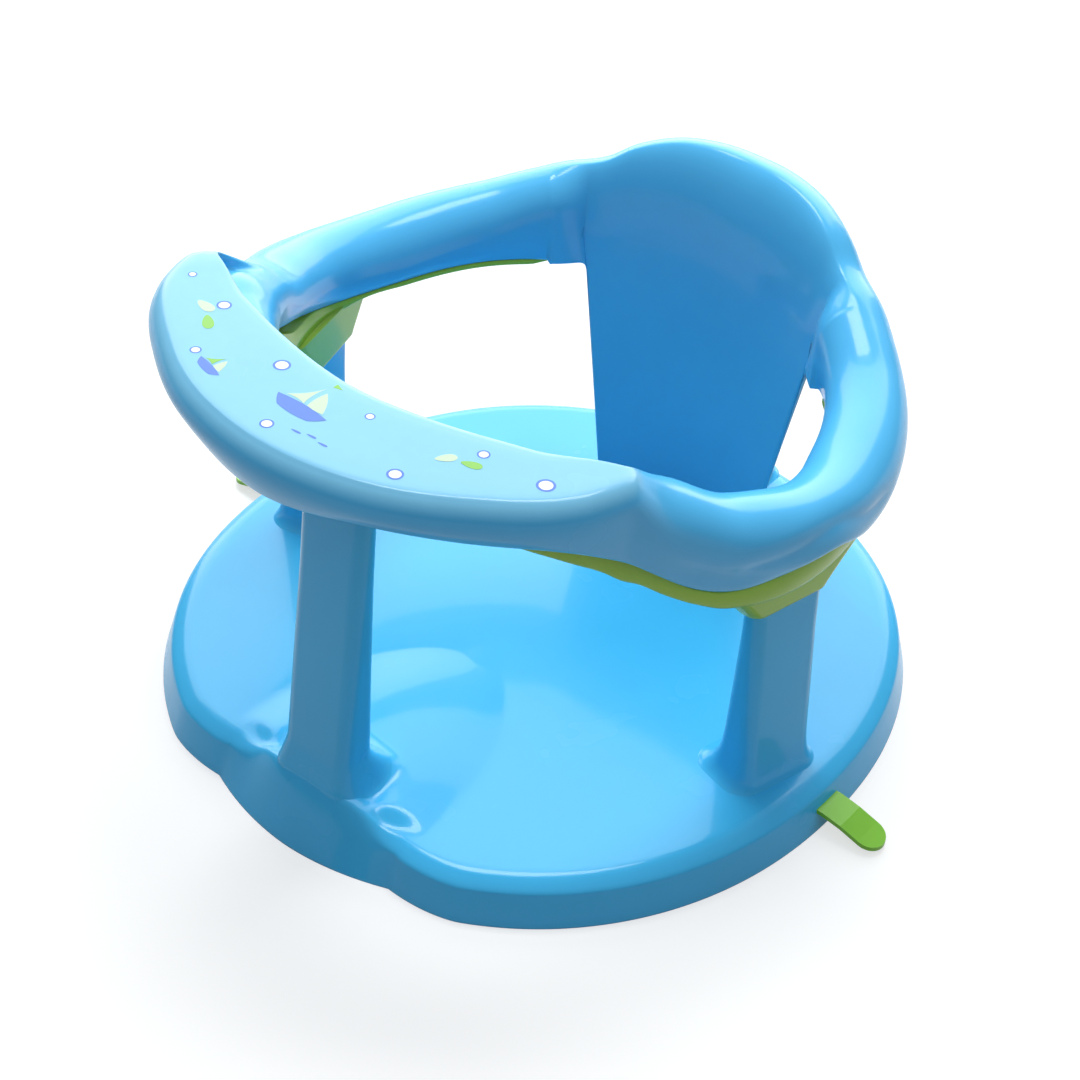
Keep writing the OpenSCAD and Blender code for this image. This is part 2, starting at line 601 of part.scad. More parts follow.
// Bosses under the floor that hold the cups' stems
module at_cups() {
    for (side = [-1, 1]) translate([side * side_cup_place, tab_middle, 0]) children();
    for (end = [-1, 1]) translate([0, end * end_cup_place, 0]) children();
}
module tab_slots() {
    for (side = [-1, 1])
        translate([side * (base_width / 2 - 4), tab_middle, tab_height])
            cube([24, tab_width + 2 * slot_gap, tab_thick + 2 * slot_gap], center = true);
}
module base() {
    color(base_blue) translate([0, ring_y, 0]) difference() {
        union() {
            base_shell();
            at_front_post() post_body(front_top, post_width / 2);
            at_back_post() post_body(back_top, post_width / 2, back_draft);
            at_side_posts() post_body(side_top, side_post_width / 2);
            at_cups() translate([0, 0, shoulder_height])
                cylinder(h = floor_height - base_wall / 2 - shoulder_height,
                         d = stem_diameter + 2 * (stem_gap + boss_wall));
            translate([0, -end_cup_place, floor_height - base_wall])
                cylinder(h = pommel_height + base_wall / 2,
                         d = stem_diameter + 2 * (stem_gap + boss_wall));
        }
        at_front_post() post_hollow(front_top, post_width / 2);
        at_back_post() post_hollow(back_top, post_width / 2, back_draft);
        at_side_posts() post_hollow(side_top, side_post_width / 2);
        at_cups() cylinder(h = shoulder_height + stem_rise + 0.5, d = stem_diameter + 2 * stem_gap);
        tab_slots();
    }
}

base();
upper_ring();
lower_ring();
suction_cup_left();
suction_cup_right();
suction_cup_front();
suction_cup_back();
ring_screws();
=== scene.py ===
# %% [markdown]
# # Baby bath seat, the visual model
#
# The seat is three glossy plastic mouldings: a blue base with four posts, a blue ring with a
# tray and a back rest, and a green ring below it. Lime suction cups hold it to the tub. The CAD
# model gives every size and place. This script gives the smooth skins, finishes and light.

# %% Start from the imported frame
import math
import bpy
import numpy as np
from mathutils import Matrix, Vector


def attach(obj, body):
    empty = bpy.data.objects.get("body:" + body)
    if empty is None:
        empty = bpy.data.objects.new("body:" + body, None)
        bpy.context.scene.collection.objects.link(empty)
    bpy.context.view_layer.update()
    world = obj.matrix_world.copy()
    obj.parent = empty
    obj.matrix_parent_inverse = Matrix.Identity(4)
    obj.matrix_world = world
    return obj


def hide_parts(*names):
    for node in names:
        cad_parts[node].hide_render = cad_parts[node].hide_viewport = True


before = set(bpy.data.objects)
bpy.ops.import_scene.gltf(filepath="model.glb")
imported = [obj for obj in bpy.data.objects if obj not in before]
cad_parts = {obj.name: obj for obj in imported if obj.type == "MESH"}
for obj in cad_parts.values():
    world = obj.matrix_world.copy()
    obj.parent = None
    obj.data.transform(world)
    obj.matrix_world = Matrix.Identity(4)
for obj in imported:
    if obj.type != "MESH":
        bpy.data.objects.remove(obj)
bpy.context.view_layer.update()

# %% [markdown]
# The mouldings are described in millimetres, in a frame whose middle is the ring's middle. One
# number moves that middle to its place in the part's frame.

# %% Sizes that the skins share
MM = 0.001
BASE_WIDTH, BASE_LENGTH = 316.0, 336.0
FLOOR, STEP = 19.0, 13.5
BASE_WALL, RING_WALL, LINER_WALL = 2.6, 2.6, 2.2
TRAY_TOP, TRAY_REACH, TRAY_INNER = 205.0, 176.0, 122.0
ARM_RADIUS, ARM_TOP, ARM_HALF = 126.0, 161.0, 17.0
CROWN_TOP, LINER_RADIUS = 196.5, 146.0
RING_Y = (TRAY_REACH - BASE_LENGTH / 2) / 2
print("the ring's middle is", RING_Y, "mm behind the origin")

# %% [markdown]
# Every skin is a grid of points: rings or sections in order, each with the same number of
# points. A grid is quick to build from arrays, and smooth shading hides its small faces.

# %% Helpers for smooth values and grids
def ease(t):
    """0 below t = 0, 1 above t = 1, and a soft step between them."""
    c = np.clip(t, 0, 1)
    return c * c * (3 - 2 * c)

def bump(t):
    """1 at t = 0, falling softly to 0 at t = -1 and t = 1."""
    return np.where(np.abs(t) < 1, (1 - np.clip(t * t, 0, 1)) ** 2, 0.0)

def mix(a, b, t):
    """a at t = 0, b at t = 1, and a straight blend between them."""
    return a + (b - a) * t

def smooth_rows(table, at):
    """All columns of a table at the values `at` of its first column, on a smooth curve."""
    table = np.asarray(table, float)
    at = np.asarray(at, float)
    key = table[:, 0]
    slope = np.zeros_like(table)
    slope[1:-1] = (table[2:] - table[:-2]) / (key[2:] - key[:-2])[:, None]
    i = np.clip(np.searchsorted(key, at, side="right") - 1, 0, len(key) - 2)
    h = (key[i + 1] - key[i])[:, None]
    s = ((at - key[i]) / (key[i + 1] - key[i]))[:, None]
    return ((2 * s**3 - 3 * s**2 + 1) * table[i] + (s**3 - 2 * s**2 + s) * h * slope[i]
            + (3 * s**2 - 2 * s**3) * table[i + 1] + (s**3 - s**2) * h * slope[i + 1])

def finer(points, times):
    """Open rows of points (rows, n, d) with `times` points for each one, on a smooth curve."""
    n = points.shape[1]
    at = np.linspace(0, n - 1, (n - 1) * times + 1)
    i = np.clip(at.astype(int), 0, n - 2)
    s = (at - i)[None, :, None]
    p0, p1 = points[:, np.maximum(i - 1, 0)], points[:, i]
    p2, p3 = points[:, i + 1], points[:, np.minimum(i + 2, n - 1)]
    return 0.5 * (2 * p1 + (p2 - p0) * s + (2 * p0 - 5 * p1 + 4 * p2 - p3) * s**2
                  + (3 * p1 - p0 - 3 * p2 + p3) * s**3)

def grid_faces(rows, cols, wrap_rows=False, flip=False):
    """Quads of a grid whose columns close on themselves, and its rows too if asked."""
    faces = []
    for i in range(rows if wrap_rows else rows - 1):
        for k in range(cols):
            a, b = i * cols + k, i * cols + (k + 1) % cols
            c, d = (i + 1) % rows * cols + (k + 1) % cols, (i + 1) % rows * cols + k
            faces.append((d, c, b, a) if flip else (a, b, c, d))
    return faces

def new_piece(name, points, faces, material):
    """A plain mesh from points in millimetres round the ring's middle."""
    mesh = bpy.data.meshes.new(name)
    points = (np.asarray(points, float).reshape(-1, 3) + [0, RING_Y, 0]) * MM
    mesh.from_pydata(points.tolist(), [], faces)
    mesh.update()
    mesh.shade_smooth()
    piece = bpy.data.objects.new(name, mesh)
    bpy.context.scene.collection.objects.link(piece)
    mesh.materials.append(material)
    print(name, len(mesh.vertices), "points")
    return piece

def joined(first, *others):
    """The other pieces' meshes joined into the first one."""
    for piece in bpy.context.selected_objects:
        piece.select_set(False)
    for piece in (first, *others):
        piece.select_set(True)
    bpy.context.view_layer.objects.active = first
    bpy.ops.object.join()
    return first

print("a soft step:", ease(np.linspace(0, 1, 5)).round(2).tolist())

# %% [markdown]
# ## Finishes
# The mouldings are glossy polypropylene. Such plastic is never quite flat: a fine mottle from
# the mould bends its highlights a little, and its roughness varies. The same recipe with other
# colours serves all three mouldings, and a softer one serves the rubbery cups.

# %% Plastic recipe
def noise(nodes, links, scale):
    """A noise over the object's own coordinates."""
    place = nodes.new("ShaderNodeTexCoord")
    texture = nodes.new("ShaderNodeTexNoise")
    texture.inputs["Scale"].default_value = scale
    links.new(place.outputs["Object"], texture.inputs["Vector"])
    return texture

def mottled(nodes, links, texture, color, mottle):
    """A colour that wavers by a share of itself with a noise."""
    tone = nodes.new("ShaderNodeMix")
    tone.data_type = "RGBA"
    tone.inputs["A"].default_value = (*[c * (1 - mottle) for c in color], 1)
    tone.inputs["B"].default_value = (*[min(1, c * (1 + mottle)) for c in color], 1)
    links.new(texture.outputs["Fac"], tone.inputs["Factor"])
    return tone.outputs["Result"]

def plastic(name, color, roughness=0.24, mottle=0.05, ripple=0.1):
    """A glossy plastic whose colour, roughness and surface waver a little."""
    material = bpy.data.materials.new(name)
    material.use_nodes = True
    nodes, links = material.node_tree.nodes, material.node_tree.links
    shader = nodes["Principled BSDF"]
    shader.inputs["IOR"].default_value = 1.49
    shader.inputs["Specular IOR Level"].default_value = 0.17
    shader.inputs["Coat Weight"].default_value = 0.22
    shader.inputs["Coat Roughness"].default_value = 0.06
    broad = noise(nodes, links, 22)
    broad.inputs["Detail"].default_value = 3
    links.new(mottled(nodes, links, broad, color, mottle), shader.inputs["Base Color"])
    rough = nodes.new("ShaderNodeMapRange")
    rough.inputs["To Min"].default_value = roughness * 0.8
    rough.inputs["To Max"].default_value = roughness * 1.3
    links.new(broad.outputs["Fac"], rough.inputs["Value"])
    links.new(rough.outputs["Result"], shader.inputs["Roughness"])
    fine = noise(nodes, links, 60)
    dent = nodes.new("ShaderNodeBump")
    dent.inputs["Strength"].default_value = ripple
    dent.inputs["Distance"].default_value = 0.0004
    links.new(fine.outputs["Fac"], dent.inputs["Height"])
    links.new(dent.outputs["Normal"], shader.inputs["Normal"])
    return material

def add_print(material, color, low, high):
    """A pale printed ground on the parts of a moulding that lie above a height."""
    nodes, links = material.node_tree.nodes, material.node_tree.links
    shader = nodes["Principled BSDF"]
    plain = shader.inputs["Base Color"].links[0].from_socket
    place = nodes.new("ShaderNodeTexCoord")
    split = nodes.new("ShaderNodeSeparateXYZ")
    links.new(place.outputs["Object"], split.inputs["Vector"])
    share = nodes.new("ShaderNodeMapRange")
    share.interpolation_type = "SMOOTHSTEP"
    share.inputs["From Min"].default_value = low
    share.inputs["From Max"].default_value = high
    links.new(split.outputs["Z"], share.inputs["Value"])
    printed = mottled(nodes, links, noise(nodes, links, 180), color, 0.03)
    laid = nodes.new("ShaderNodeMix")
    laid.data_type = "RGBA"
    links.new(share.outputs["Result"], laid.inputs["Factor"])
    links.new(plain, laid.inputs["A"])
    links.new(printed, laid.inputs["B"])
    links.new(laid.outputs["Result"], shader.inputs["Base Color"])

BASE_BLUE = plastic("base blue plastic", (0.06, 0.52, 0.92))
RING_BLUE = plastic("ring blue plastic", (0.095, 0.52, 0.90))
PRINT_FROM, PRINT_FULL = 0.1985, 0.2038
add_print(RING_BLUE, (0.19, 0.53, 0.76), PRINT_FROM, PRINT_FULL)
GREEN = plastic("green plastic", (0.36, 0.60, 0.06))
LIME = plastic("lime cup rubber", (0.22, 0.56, 0.035), roughness=0.35)
STEEL = bpy.data.materials.new("screw steel")
STEEL.use_nodes = True
for socket, value in (("Metallic", 1.0), ("Roughness", 0.35)):
    STEEL.node_tree.nodes["Principled BSDF"].inputs[socket].default_value = value
print("finishes:", [m.name for m in (BASE_BLUE, RING_BLUE, GREEN, LIME, STEEL)])

# %% [markdown]
# ## The base
# Its outline is a squared oval, drawn in a little beside the lobe in front. The skirt has a soft
# step, and on the lobe it leans back up to a lip. Inside the skirt the floor is a height map:
# a low pommel rises round the front post, a shelf carries the post's foot, and a shallow hollow
# lies on each side of that foot. A height map joins them softly, as the mould does.

# %% Outline and heights of the base
OUTLINE_POWER = 2 / 2.13
LOBE_HALF, NOTCH_DEPTH, NOTCH_HALF, LOBE_INSET = 47.0, 8.0, 32.0, 4.0
POMMEL_HEIGHT, POMMEL_HALF, POMMEL_REACH, POMMEL_Y = 7.5, 50.0, 96.0, -138.0
POMMEL_START, POMMEL_RAMP = 12.0, 18.0
HOLLOW_PLACE, HOLLOW_BOW, HOLLOW_SHARE = 26.0, 4.0, 0.8
HOLLOW_START, HOLLOW_END, HOLLOW_AHEAD = 16.0, 36.0, 9.0
SHELF_RISE, SHELF_HALF, SHELF_DEEP = 7.0, 24.0, 56.0
EDGE_INSET, APRON_LEAN, LIP_RISE, LIP_HALF, FADE = 13.0, 15.0, 8.0, 40.0, 26.0
SKIRT_ROWS = [
    [0, 0, 0, 0, 0],
    [1, 2.2, STEP * 0.6, 0.32, 0.4],
    [2, 3.7, STEP, 0.6, 0.75],
    [3, 4.9, mix(STEP, FLOOR, 0.42), 0.78, 0.93],
    [4, 9.6, FLOOR - 0.7, 0.9, 1],
    [5, EDGE_INSET, FLOOR, 1, 1],
]

def outline(angles):
    """Points of the base's outline, by their angle from the front."""
    a = np.radians(angles)
    power = lambda v: np.sign(v) * np.abs(v) ** OUTLINE_POWER
    x, y = BASE_WIDTH / 2 * power(np.sin(a)), -BASE_LENGTH / 2 * power(np.cos(a))
    lobe = np.clip(np.abs(x) / LOBE_HALF, 0, 1)
    beside = np.clip((np.abs(x) - LOBE_HALF) / NOTCH_HALF, 0, 1)
    drawn_in = mix(LOBE_INSET, NOTCH_DEPTH, lobe**1.6) * (1 - beside) ** 1.35
    return np.stack([x, y + np.where(y < 0, drawn_in, 0)], 1)

def floor_height(x, y):
    """The floor's height: the pommel less its hollow, and the shelf under the front post."""
    across = np.abs(x)
    inwards = y + BASE_LENGTH / 2
    rho2 = (x / POMMEL_HALF)**2 + (np.maximum(y - POMMEL_Y, 0) / POMMEL_REACH)**2
    pommel = POMMEL_HEIGHT * np.clip(1 - rho2, 0, 1) ** 1.2
    pommel = pommel * ease((inwards - POMMEL_START) / POMMEL_RAMP)
    shelf = SHELF_RISE * ease((SHELF_HALF - across) / 9) * ease((SHELF_DEEP - inwards) / 24)
    outwards = ease((across - HOLLOW_START) / (HOLLOW_END - HOLLOW_START))
    behind = inwards - HOLLOW_PLACE - HOLLOW_BOW * (1 - outwards)
    reach = np.where(behind < 0, HOLLOW_AHEAD, mix(24, 18, outwards))
    sideways = ease((across - HOLLOW_START) / 6), ease((HOLLOW_END - across) / 20)
    hollow = bump(behind / reach) * sideways[0] * sideways[1] * HOLLOW_SHARE
    return FLOOR + pommel * (1 - hollow) + shelf

def skirt_ring(angles, k):
    """The ring at the row k of the skirt, from 0 on the ground to 5 at the floor's edge."""
    o = outline(angles)
    row = smooth_rows(SKIRT_ROWS, [k])[0]
    share = np.where(o[:, 1] < 0, ease((LOBE_HALF + 6 - np.abs(o[:, 0])) / FADE), 0)
    inset = mix(row[1], row[3] * APRON_LEAN, share)
    p = o * (1 - inset / np.hypot(*o.T))[:, None]
    lip = FLOOR + LIP_RISE * ease((LIP_HALF - np.abs(p[:, 0])) / FADE)
    return np.column_stack([p, mix(row[2], row[4] * lip, share)])

print("floor behind the front post:", float(floor_height(0.0, -120.0).round(1)), "mm up")

# %% [markdown]
# The skirt's rows and the floor's rings make one sheet. A second sheet runs below it at the
# wall's thickness, so that the moulding is a thin shell and its underside is open.

# %% Skin of the base
BASE_ANGLES = np.linspace(-180, 180, 361)[:-1]
SKIRT_STEPS = np.linspace(0, 5, 26)
FLOOR_STEPS = np.concatenate([np.linspace(0.985, 0.3, 60), [0.2, 0.1, 0.02, 0.0001]])
EDGE_BLEND = 0.06

def base_rings():
    """Rings up the skirt to its edge, and rings over the floor to its middle."""
    skirt = [skirt_ring(BASE_ANGLES, k) for k in SKIRT_STEPS]
    edge = skirt[-1]
    floor = []
    for f in FLOOR_STEPS:
        p = edge[:, :2] * f
        blend = ease((1 - f) / EDGE_BLEND)
        floor.append(np.column_stack([p, mix(edge[:, 2], floor_height(p[:, 0], p[:, 1]), blend)]))
    return skirt, floor

def base_skin():
    """One closed sheet: the underside from its middle out, then the skirt and the floor."""
    skirt, floor = base_rings()
    under = []
    for k, ring in enumerate(skirt):
        s = k / (len(skirt) - 1)
        inset = BASE_WALL * mix(1, 0.6, ease(s * 2))
        p = ring[:, :2] * (1 - inset / np.hypot(ring[:, 0], ring[:, 1]))[:, None]
        under.append(np.column_stack([p, ring[:, 2] - BASE_WALL * ease(s * 2.5)]))
    under += [ring - [0, 0, BASE_WALL] for ring in floor]
    rings = under[::-1] + skirt + floor
    return np.stack(rings)

rings = base_skin()
base = new_piece("base_moulding", rings, grid_faces(*rings.shape[:2]), BASE_BLUE)

# %% [markdown]
# ## The posts
# Each post is a tapered slab with rounded edges that melts into the floor, as a moulded post
# must so that it doesn't snap off. Near its foot the skin flares out and follows the floor's
# height map, so that no seam shows. The side posts face a little to the front.

# %% Posts that grow out of the floor
POST_FOOT, POST_TIP, POST_CORNER = 21.0, 9.0, 6.0
POST_DRAFT = math.tan(math.radians(5.2))
BACK_DRAFT = math.tan(math.radians(8.5))
FRONT_FACE, BACK_FACE, SIDE_FACE, SIDE_AHEAD = 149.0, 157.0, 136.5, 14.5
FRONT_TOP, BACK_TOP, SIDE_TOP = 178.0, 149.5, 129.3
END_HALF, SIDE_HALF = 17.0, 18.0
FRONT_FLUSH, SIDE_FLUSH = 0.7, 0.5
FLARE_WIDE, FLARE_DEEP = 0.55, 0.6
SIDE_TURN = math.radians(105)
FRONT_FOOT, BACK_FOOT = [0, -FRONT_FACE], [0, BACK_FACE]
RIGHT_FOOT, LEFT_FOOT = [SIDE_FACE, -SIDE_AHEAD], [-SIDE_FACE, -SIDE_AHEAD]

def turned_by(turn):
    return np.array([[math.cos(turn), -math.sin(turn)], [math.sin(turn), math.cos(turn)]])

def rounded_rect(a, b, c, count=12):
    """A rectangle of half sizes a and b with corners of radius c."""
    points = []
    for q in range(4):
        t = np.radians(q * 90 + np.linspace(0, 90, count))
        sx, sy = (1 if q in (0, 3) else -1), (1 if q < 2 else -1)
        points.append(np.column_stack([sx * (a - c) + c * np.cos(t),
                                       sy * (b - c) + c * np.sin(t)]))
    return np.concatenate(points)

def post_skin(top, half, turn, place, lean=POST_DRAFT, flush=0):
    """Rings of one post. `turn` faces its outer side, `place` sets that side's foot, and
    `flush` is the share of the foot's flare that its outer side goes without."""
    heights = np.concatenate([[FLOOR - 5], FLOOR + 26 * np.linspace(0, 1, 30) ** 1.6,
                              np.linspace(FLOOR + 28, top, 26)])
    turned = turned_by(turn)
    rings = []
    for z in heights:
        s = max(0, z - FLOOR) / (top - FLOOR)
        thick = mix(POST_FOOT, POST_TIP, s**0.85)
        up = max(0, z - FLOOR) / 24
        flare = 6 * max(0, 1 - up) ** 3 + 5 * (1 - math.sqrt(1 - (1 - min(1, up * 4)) ** 2))
        a, b = half * (1 - 0.05 * s) + flare * FLARE_WIDE, thick / 2 + flare * FLARE_DEEP
        p = rounded_rect(a, b, min(POST_CORNER + flare / 2, b - 0.3))
        p = p + [0, -lean * (z - FLOOR) - thick / 2 - flush * flare * FLARE_DEEP]
        p = p @ turned.T + place
        lift = (floor_height(p[:, 0], p[:, 1]) - FLOOR) * ease(1 - up)
        rings.append(np.column_stack([p, z + lift - (0.4 if z == FLOOR else 0)]))
    return np.stack(rings)

def post(name, *where):
    skin = post_skin(*where)
    return new_piece(name, skin, grid_faces(*skin.shape[:2]), BASE_BLUE)

posts = [post("post_front", FRONT_TOP, END_HALF, math.pi, FRONT_FOOT, POST_DRAFT, FRONT_FLUSH),
         post("post_back", BACK_TOP, END_HALF, 0.0, BACK_FOOT, BACK_DRAFT),
         post("post_right", SIDE_TOP, SIDE_HALF, -SIDE_TURN, RIGHT_FOOT, POST_DRAFT, SIDE_FLUSH),
         post("post_left", SIDE_TOP, SIDE_HALF, SIDE_TURN, LEFT_FOOT, POST_DRAFT, SIDE_FLUSH)]
base = joined(base, *posts)
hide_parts("base")
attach(base, "root")

# %% [markdown]
# ## The ring
# The whole ring is one moulding swept round the seat: its section is the tray's plate over the
# arm in front, a round arm at the sides and the crown at the back. A table gives the section at
# a few angles from the front, and smooth curves fill in between them.

# %% Ring stations
def arm_row(angle, r, z, half, low_out, low_in, bottom):
    """A station where the ring is a plain round arm."""
    rim = r + half - (4 if angle < 80 else 5.5)
    return [angle, r + half, r, z + half, r, z, half, low_out, low_in, bottom, rim]

T, I, R, A, C, H = TRAY_TOP, TRAY_INNER, ARM_RADIUS, ARM_TOP, CROWN_TOP, ARM_HALF
E, L = TRAY_REACH, LINER_RADIUS
# Columns: the angle from the front; the plate's outer edge, inner edge and top; the round's
# middle (radius, height) and half size; the lower edges outside and inside; the green
# channel's bottom and the radius of its rim.
STATIONS = [
    [0, E, I, T, I + 15, T - 24, 16, T - 20, T - 22, T - 27, L],
    [15, E - 2.5, I, T, I + 14.5, T - 24, 16, T - 16, T - 22, T - 27, L],
    [27, E - 8, I + 2.5, T, R + 8.5, T - 25, 16.5, T - 17, T - 25, T - 29.5, L],
    [35, E - 11.5, I + 6.5, T, R + 7, T - 25, 17.5, T - 18.5, T - 30, T - 34, L],
    [40, E - 15.5, I + 9.5, T, R + 8, T - 27.5, 20, T - 22.5, T - 33.5, T - 38.5, L - 1],
    [44, E - 20.5, I + 12.5, T, R + 7.5, T - 28.3, 20.5, T - 28.5, T - 37, T - 43.5, L - 3],
    [47, E - 24.5, I + 14.5, T - 0.8, R + 6.5, T - 29.5, 20, T - 34, T - 40, T - 48.5, R + 16],
    [50, R + 22.8, R + 9, T - 4, R + 5, T - 31, 19.2, T - 40, T - 42.5, T - 52, R + 15],
    [54, R + 20.5, R + 6, T - 11, R + 3.2, T - 33, 17.9, A - 4.5, A - 1, A - 14.5, R + 14.5],
    [59, R + 18.7, R + 3, A + 22.5, R + 1.7, A + 5.5, 17, A - 13, A - 6.5, A - 21.5, R + 14.3],
    arm_row(65, R + 1.2, A - 3, H, A - 18.5, A - 11, A - 28),
    arm_row(75, R + 1.8, A - 9.2, H, A - 19, A - 19, A - 31.5),
    arm_row(85, R + 2.4, A - 14.7, H, A - 18, A - 25.5, A - 32),
    arm_row(95, R + 0.9, A - 18.1, H + 0.4, A - 26, A - 28, A - 31),
    arm_row(105, R - 0.6, A - 19, H + 1, A - 28, A - 28, A - 31.5),
    arm_row(125, R - 1, A - 13.7, H - 0.5, A - 27, A - 28, A - 31.5),
    arm_row(135, R - 1.9, A - 6.9, H - 1.4, A - 24, A - 28, A - 31.5),
    arm_row(142, R - 2.1, A - 2.4, H - 1.2, A - 20, A - 28, A - 31),
    arm_row(150, R - 2.4, C - 33.2, H - 1.4, C - 49.5, A - 28, C - 61),
    arm_row(156, R - 1.9, C - 24.8, H - 1.4, C - 45, A - 28, C - 56),
    arm_row(164, R - 0.5, C - 19.2, H - 0.5, C - 42, A - 28, C - 51),
    arm_row(172, R + 0.3, C - 17.4, H + 0.3, C - 41, A - 28, C - 48),
    arm_row(180, R + 0.8, C - 17.8, H + 0.8, C - 40, A - 28, C - 47),
]

def station(angle):
    return smooth_rows(STATIONS, [abs(angle)])[0]

print(len(STATIONS), "stations; at the side the arm's crest is", station(90)[3].round(1), "mm up")

# %% [markdown]
# A section is a flat plate with a lip in front and a round elsewhere. Both have the same number
# of points, so near the tray's ends one can blend into the other. The back rest's face is a
# shallow bow in plan that narrows downwards.

# %% Section of the ring
TRAY_EDGE, TRAY_LIP, ARC_POINTS, WALL_ROWS = 9.0, 4.5, 15, 6
TRAY_ENDS, TRAY_BLEND = 55.5, 9.0
PANEL_START, PANEL_TURN, PANEL_LEAN = 148.0, 28.0, 0.03
PANEL_TOP_WIDTH, PANEL_LOW_WIDTH, PANEL_LOW = 120.0, 86.0, 25.0
PANEL_EDGE, PANEL_DEPTH = 96.0, 12.5
TURN_Z = ARM_TOP - PANEL_TURN

def tray_section(v):
    """The tray's plate, from its outer edge over its top to the tube below its inner edge."""
    angle, out, tin, top, r, z, half, low, _, _, _ = v
    lip = mix(TRAY_LIP, 1.0, ease((angle - 33) / 11))
    start = math.acos(min(0.3, max(-0.9, (tin + 0.5 - r) / half)))
    corner = np.radians(np.linspace(0, 90, 5))
    points = [[out - 1, mix(low, top - TRAY_EDGE, 0.5)]]
    points += [[out - TRAY_EDGE + TRAY_EDGE * math.cos(a),
                top - TRAY_EDGE + TRAY_EDGE * math.sin(a)] for a in corner]
    points += [[(out - TRAY_EDGE + tin + lip) / 2, top], [tin + lip, top],
               [tin + lip * 0.3, top - lip * 0.3], [tin, top - lip]]
    ceiling = top - lip - 1.5 * lip / TRAY_LIP
    for k in range(5):
        a = mix(start, math.pi, k / 4)
        points.append([r + half * math.cos(a), min(z + half * math.sin(a), ceiling - k * 0.3)])
    return np.array(points)

def arm_section(v):
    """The arm's round, from its outer foot over its crest to its inner side."""
    start = math.asin(min(0.3, max(-0.47, (v[7] + 2.5 - v[5]) / v[6])))
    even = np.linspace(start, math.pi, ARC_POINTS)
    crested = np.concatenate([np.linspace(start, math.pi / 2, 8),
                              np.linspace(math.pi / 2, math.pi, 8)[1:]])
    a = mix(even, crested, ease((v[0] - 118) / 18))
    return np.column_stack([v[4] + v[6] * np.cos(a), v[5] + v[6] * np.sin(a)])

def ring_section(angle):
    """The whole section in its own plane, as pairs of radius and height."""
    v = station(angle)
    upper = mix(arm_section(v), tray_section(v), ease((TRAY_ENDS - abs(angle)) / TRAY_BLEND))
    foot = [[mix(upper[0, 0], v[1] - 4, 0.7), v[7]]]
    s = np.arange(1, WALL_ROWS + 1) / WALL_ROWS
    wall = np.column_stack([v[4] - v[6] + 3.5 * s * s, mix(upper[-1, 1], v[8], s)])
    return np.concatenate([foot, upper, wall])

def placed(angle, section):
    """A section stood up at its angle from the front."""
    a = math.radians(angle)
    return np.column_stack([section[:, 0] * math.sin(a), -section[:, 0] * math.cos(a),
                            section[:, 1]])

def panel_points(angle, z):
    """Points on the back rest's front face, at the heights z."""
    u = np.clip((180 - abs(angle)) / (180 - PANEL_START), 0, 1)
    half = mix(PANEL_LOW_WIDTH, PANEL_TOP_WIDTH, (z - PANEL_LOW) / (TURN_Z - PANEL_LOW)) / 2
    deep = PANEL_DEPTH - PANEL_LEAN * (TURN_Z - z)
    return np.column_stack([math.copysign(u, angle) * half, PANEL_EDGE + deep * (1 - u * u), z])

def panel_normal(angle):
    u = np.clip((180 - abs(angle)) / (180 - PANEL_START), 0, 1)
    n = np.array([-2 * math.copysign(u, angle) * PANEL_DEPTH, -PANEL_TOP_WIDTH / 2, 0])
    return n / np.linalg.norm(n)

print("points in a section:", len(ring_section(0)))

# %% [markdown]
# The crown is not a plain round: its inner side falls in a long curve into the back rest, so that
# a baby's head meets no edge. Where the back rest leaves the arms, its side edge is rounded, and a
# small fillet leads from it into the arm's lower edge.

# %% Outer points of the ring
CROWN_FALL, FALL_END, CROWN_SIDE, CORNER = 44.0, 136.0, 139.0, 9.0
CREST, WALL_FROM, LIP_BULGE = 8, ARC_POINTS + 1, 0.8

def ring_control(angle):
    """Outer points of the section at one angle, from the outer lower edge over the top."""
    section = ring_section(angle)
    points = placed(angle, section)
    share = float(ease((abs(angle) - CROWN_SIDE) / (PANEL_START - CROWN_SIDE)))
    if share == 0:
        return points
    v = station(angle)
    crest, inner = points[CREST], placed(angle, np.array([[v[4] - v[6], v[5]]]))[0]
    fall = mix(v[6], min(CROWN_FALL, v[3] - FALL_END), ease((abs(angle) - CROWN_SIDE) / 14))
    t = np.linspace(0, 1, WALL_FROM - CREST)
    z = v[3] - fall * (1 - np.cos(t * math.pi / 2))
    target = mix(inner[:2], panel_points(angle, z[-1:])[0, :2], share)
    side = (np.sin(t * math.pi / 2) ** 1.15)[:, None]
    points[CREST:WALL_FROM, :2] = crest[:2] + (target - crest[:2]) * side
    points[CREST:WALL_FROM, 2] = z
    low = PANEL_LOW
    if abs(angle) < PANEL_START:
        gap = min(CORNER, (PANEL_START - abs(angle)) * 2.0)
        low = v[8] - CORNER + math.sqrt(CORNER**2 - (CORNER - gap)**2)
    z = mix(z[-1], low, np.arange(1, WALL_ROWS + 1) / WALL_ROWS)
    on_panel = panel_points(angle, z)
    plain = np.column_stack([np.tile(inner[:2], (WALL_ROWS, 1)), z])
    points[WALL_FROM:] = mix(plain, on_panel, share)
    return points

def skin_normals(grid):
    """Outward normals of a grid that closes round the seat."""
    along = np.roll(grid, -1, 0) - np.roll(grid, 1, 0)
    across = np.gradient(grid, axis=1)
    n = np.cross(along, across)
    return n / np.maximum(np.linalg.norm(n, axis=2, keepdims=True), 1e-9)

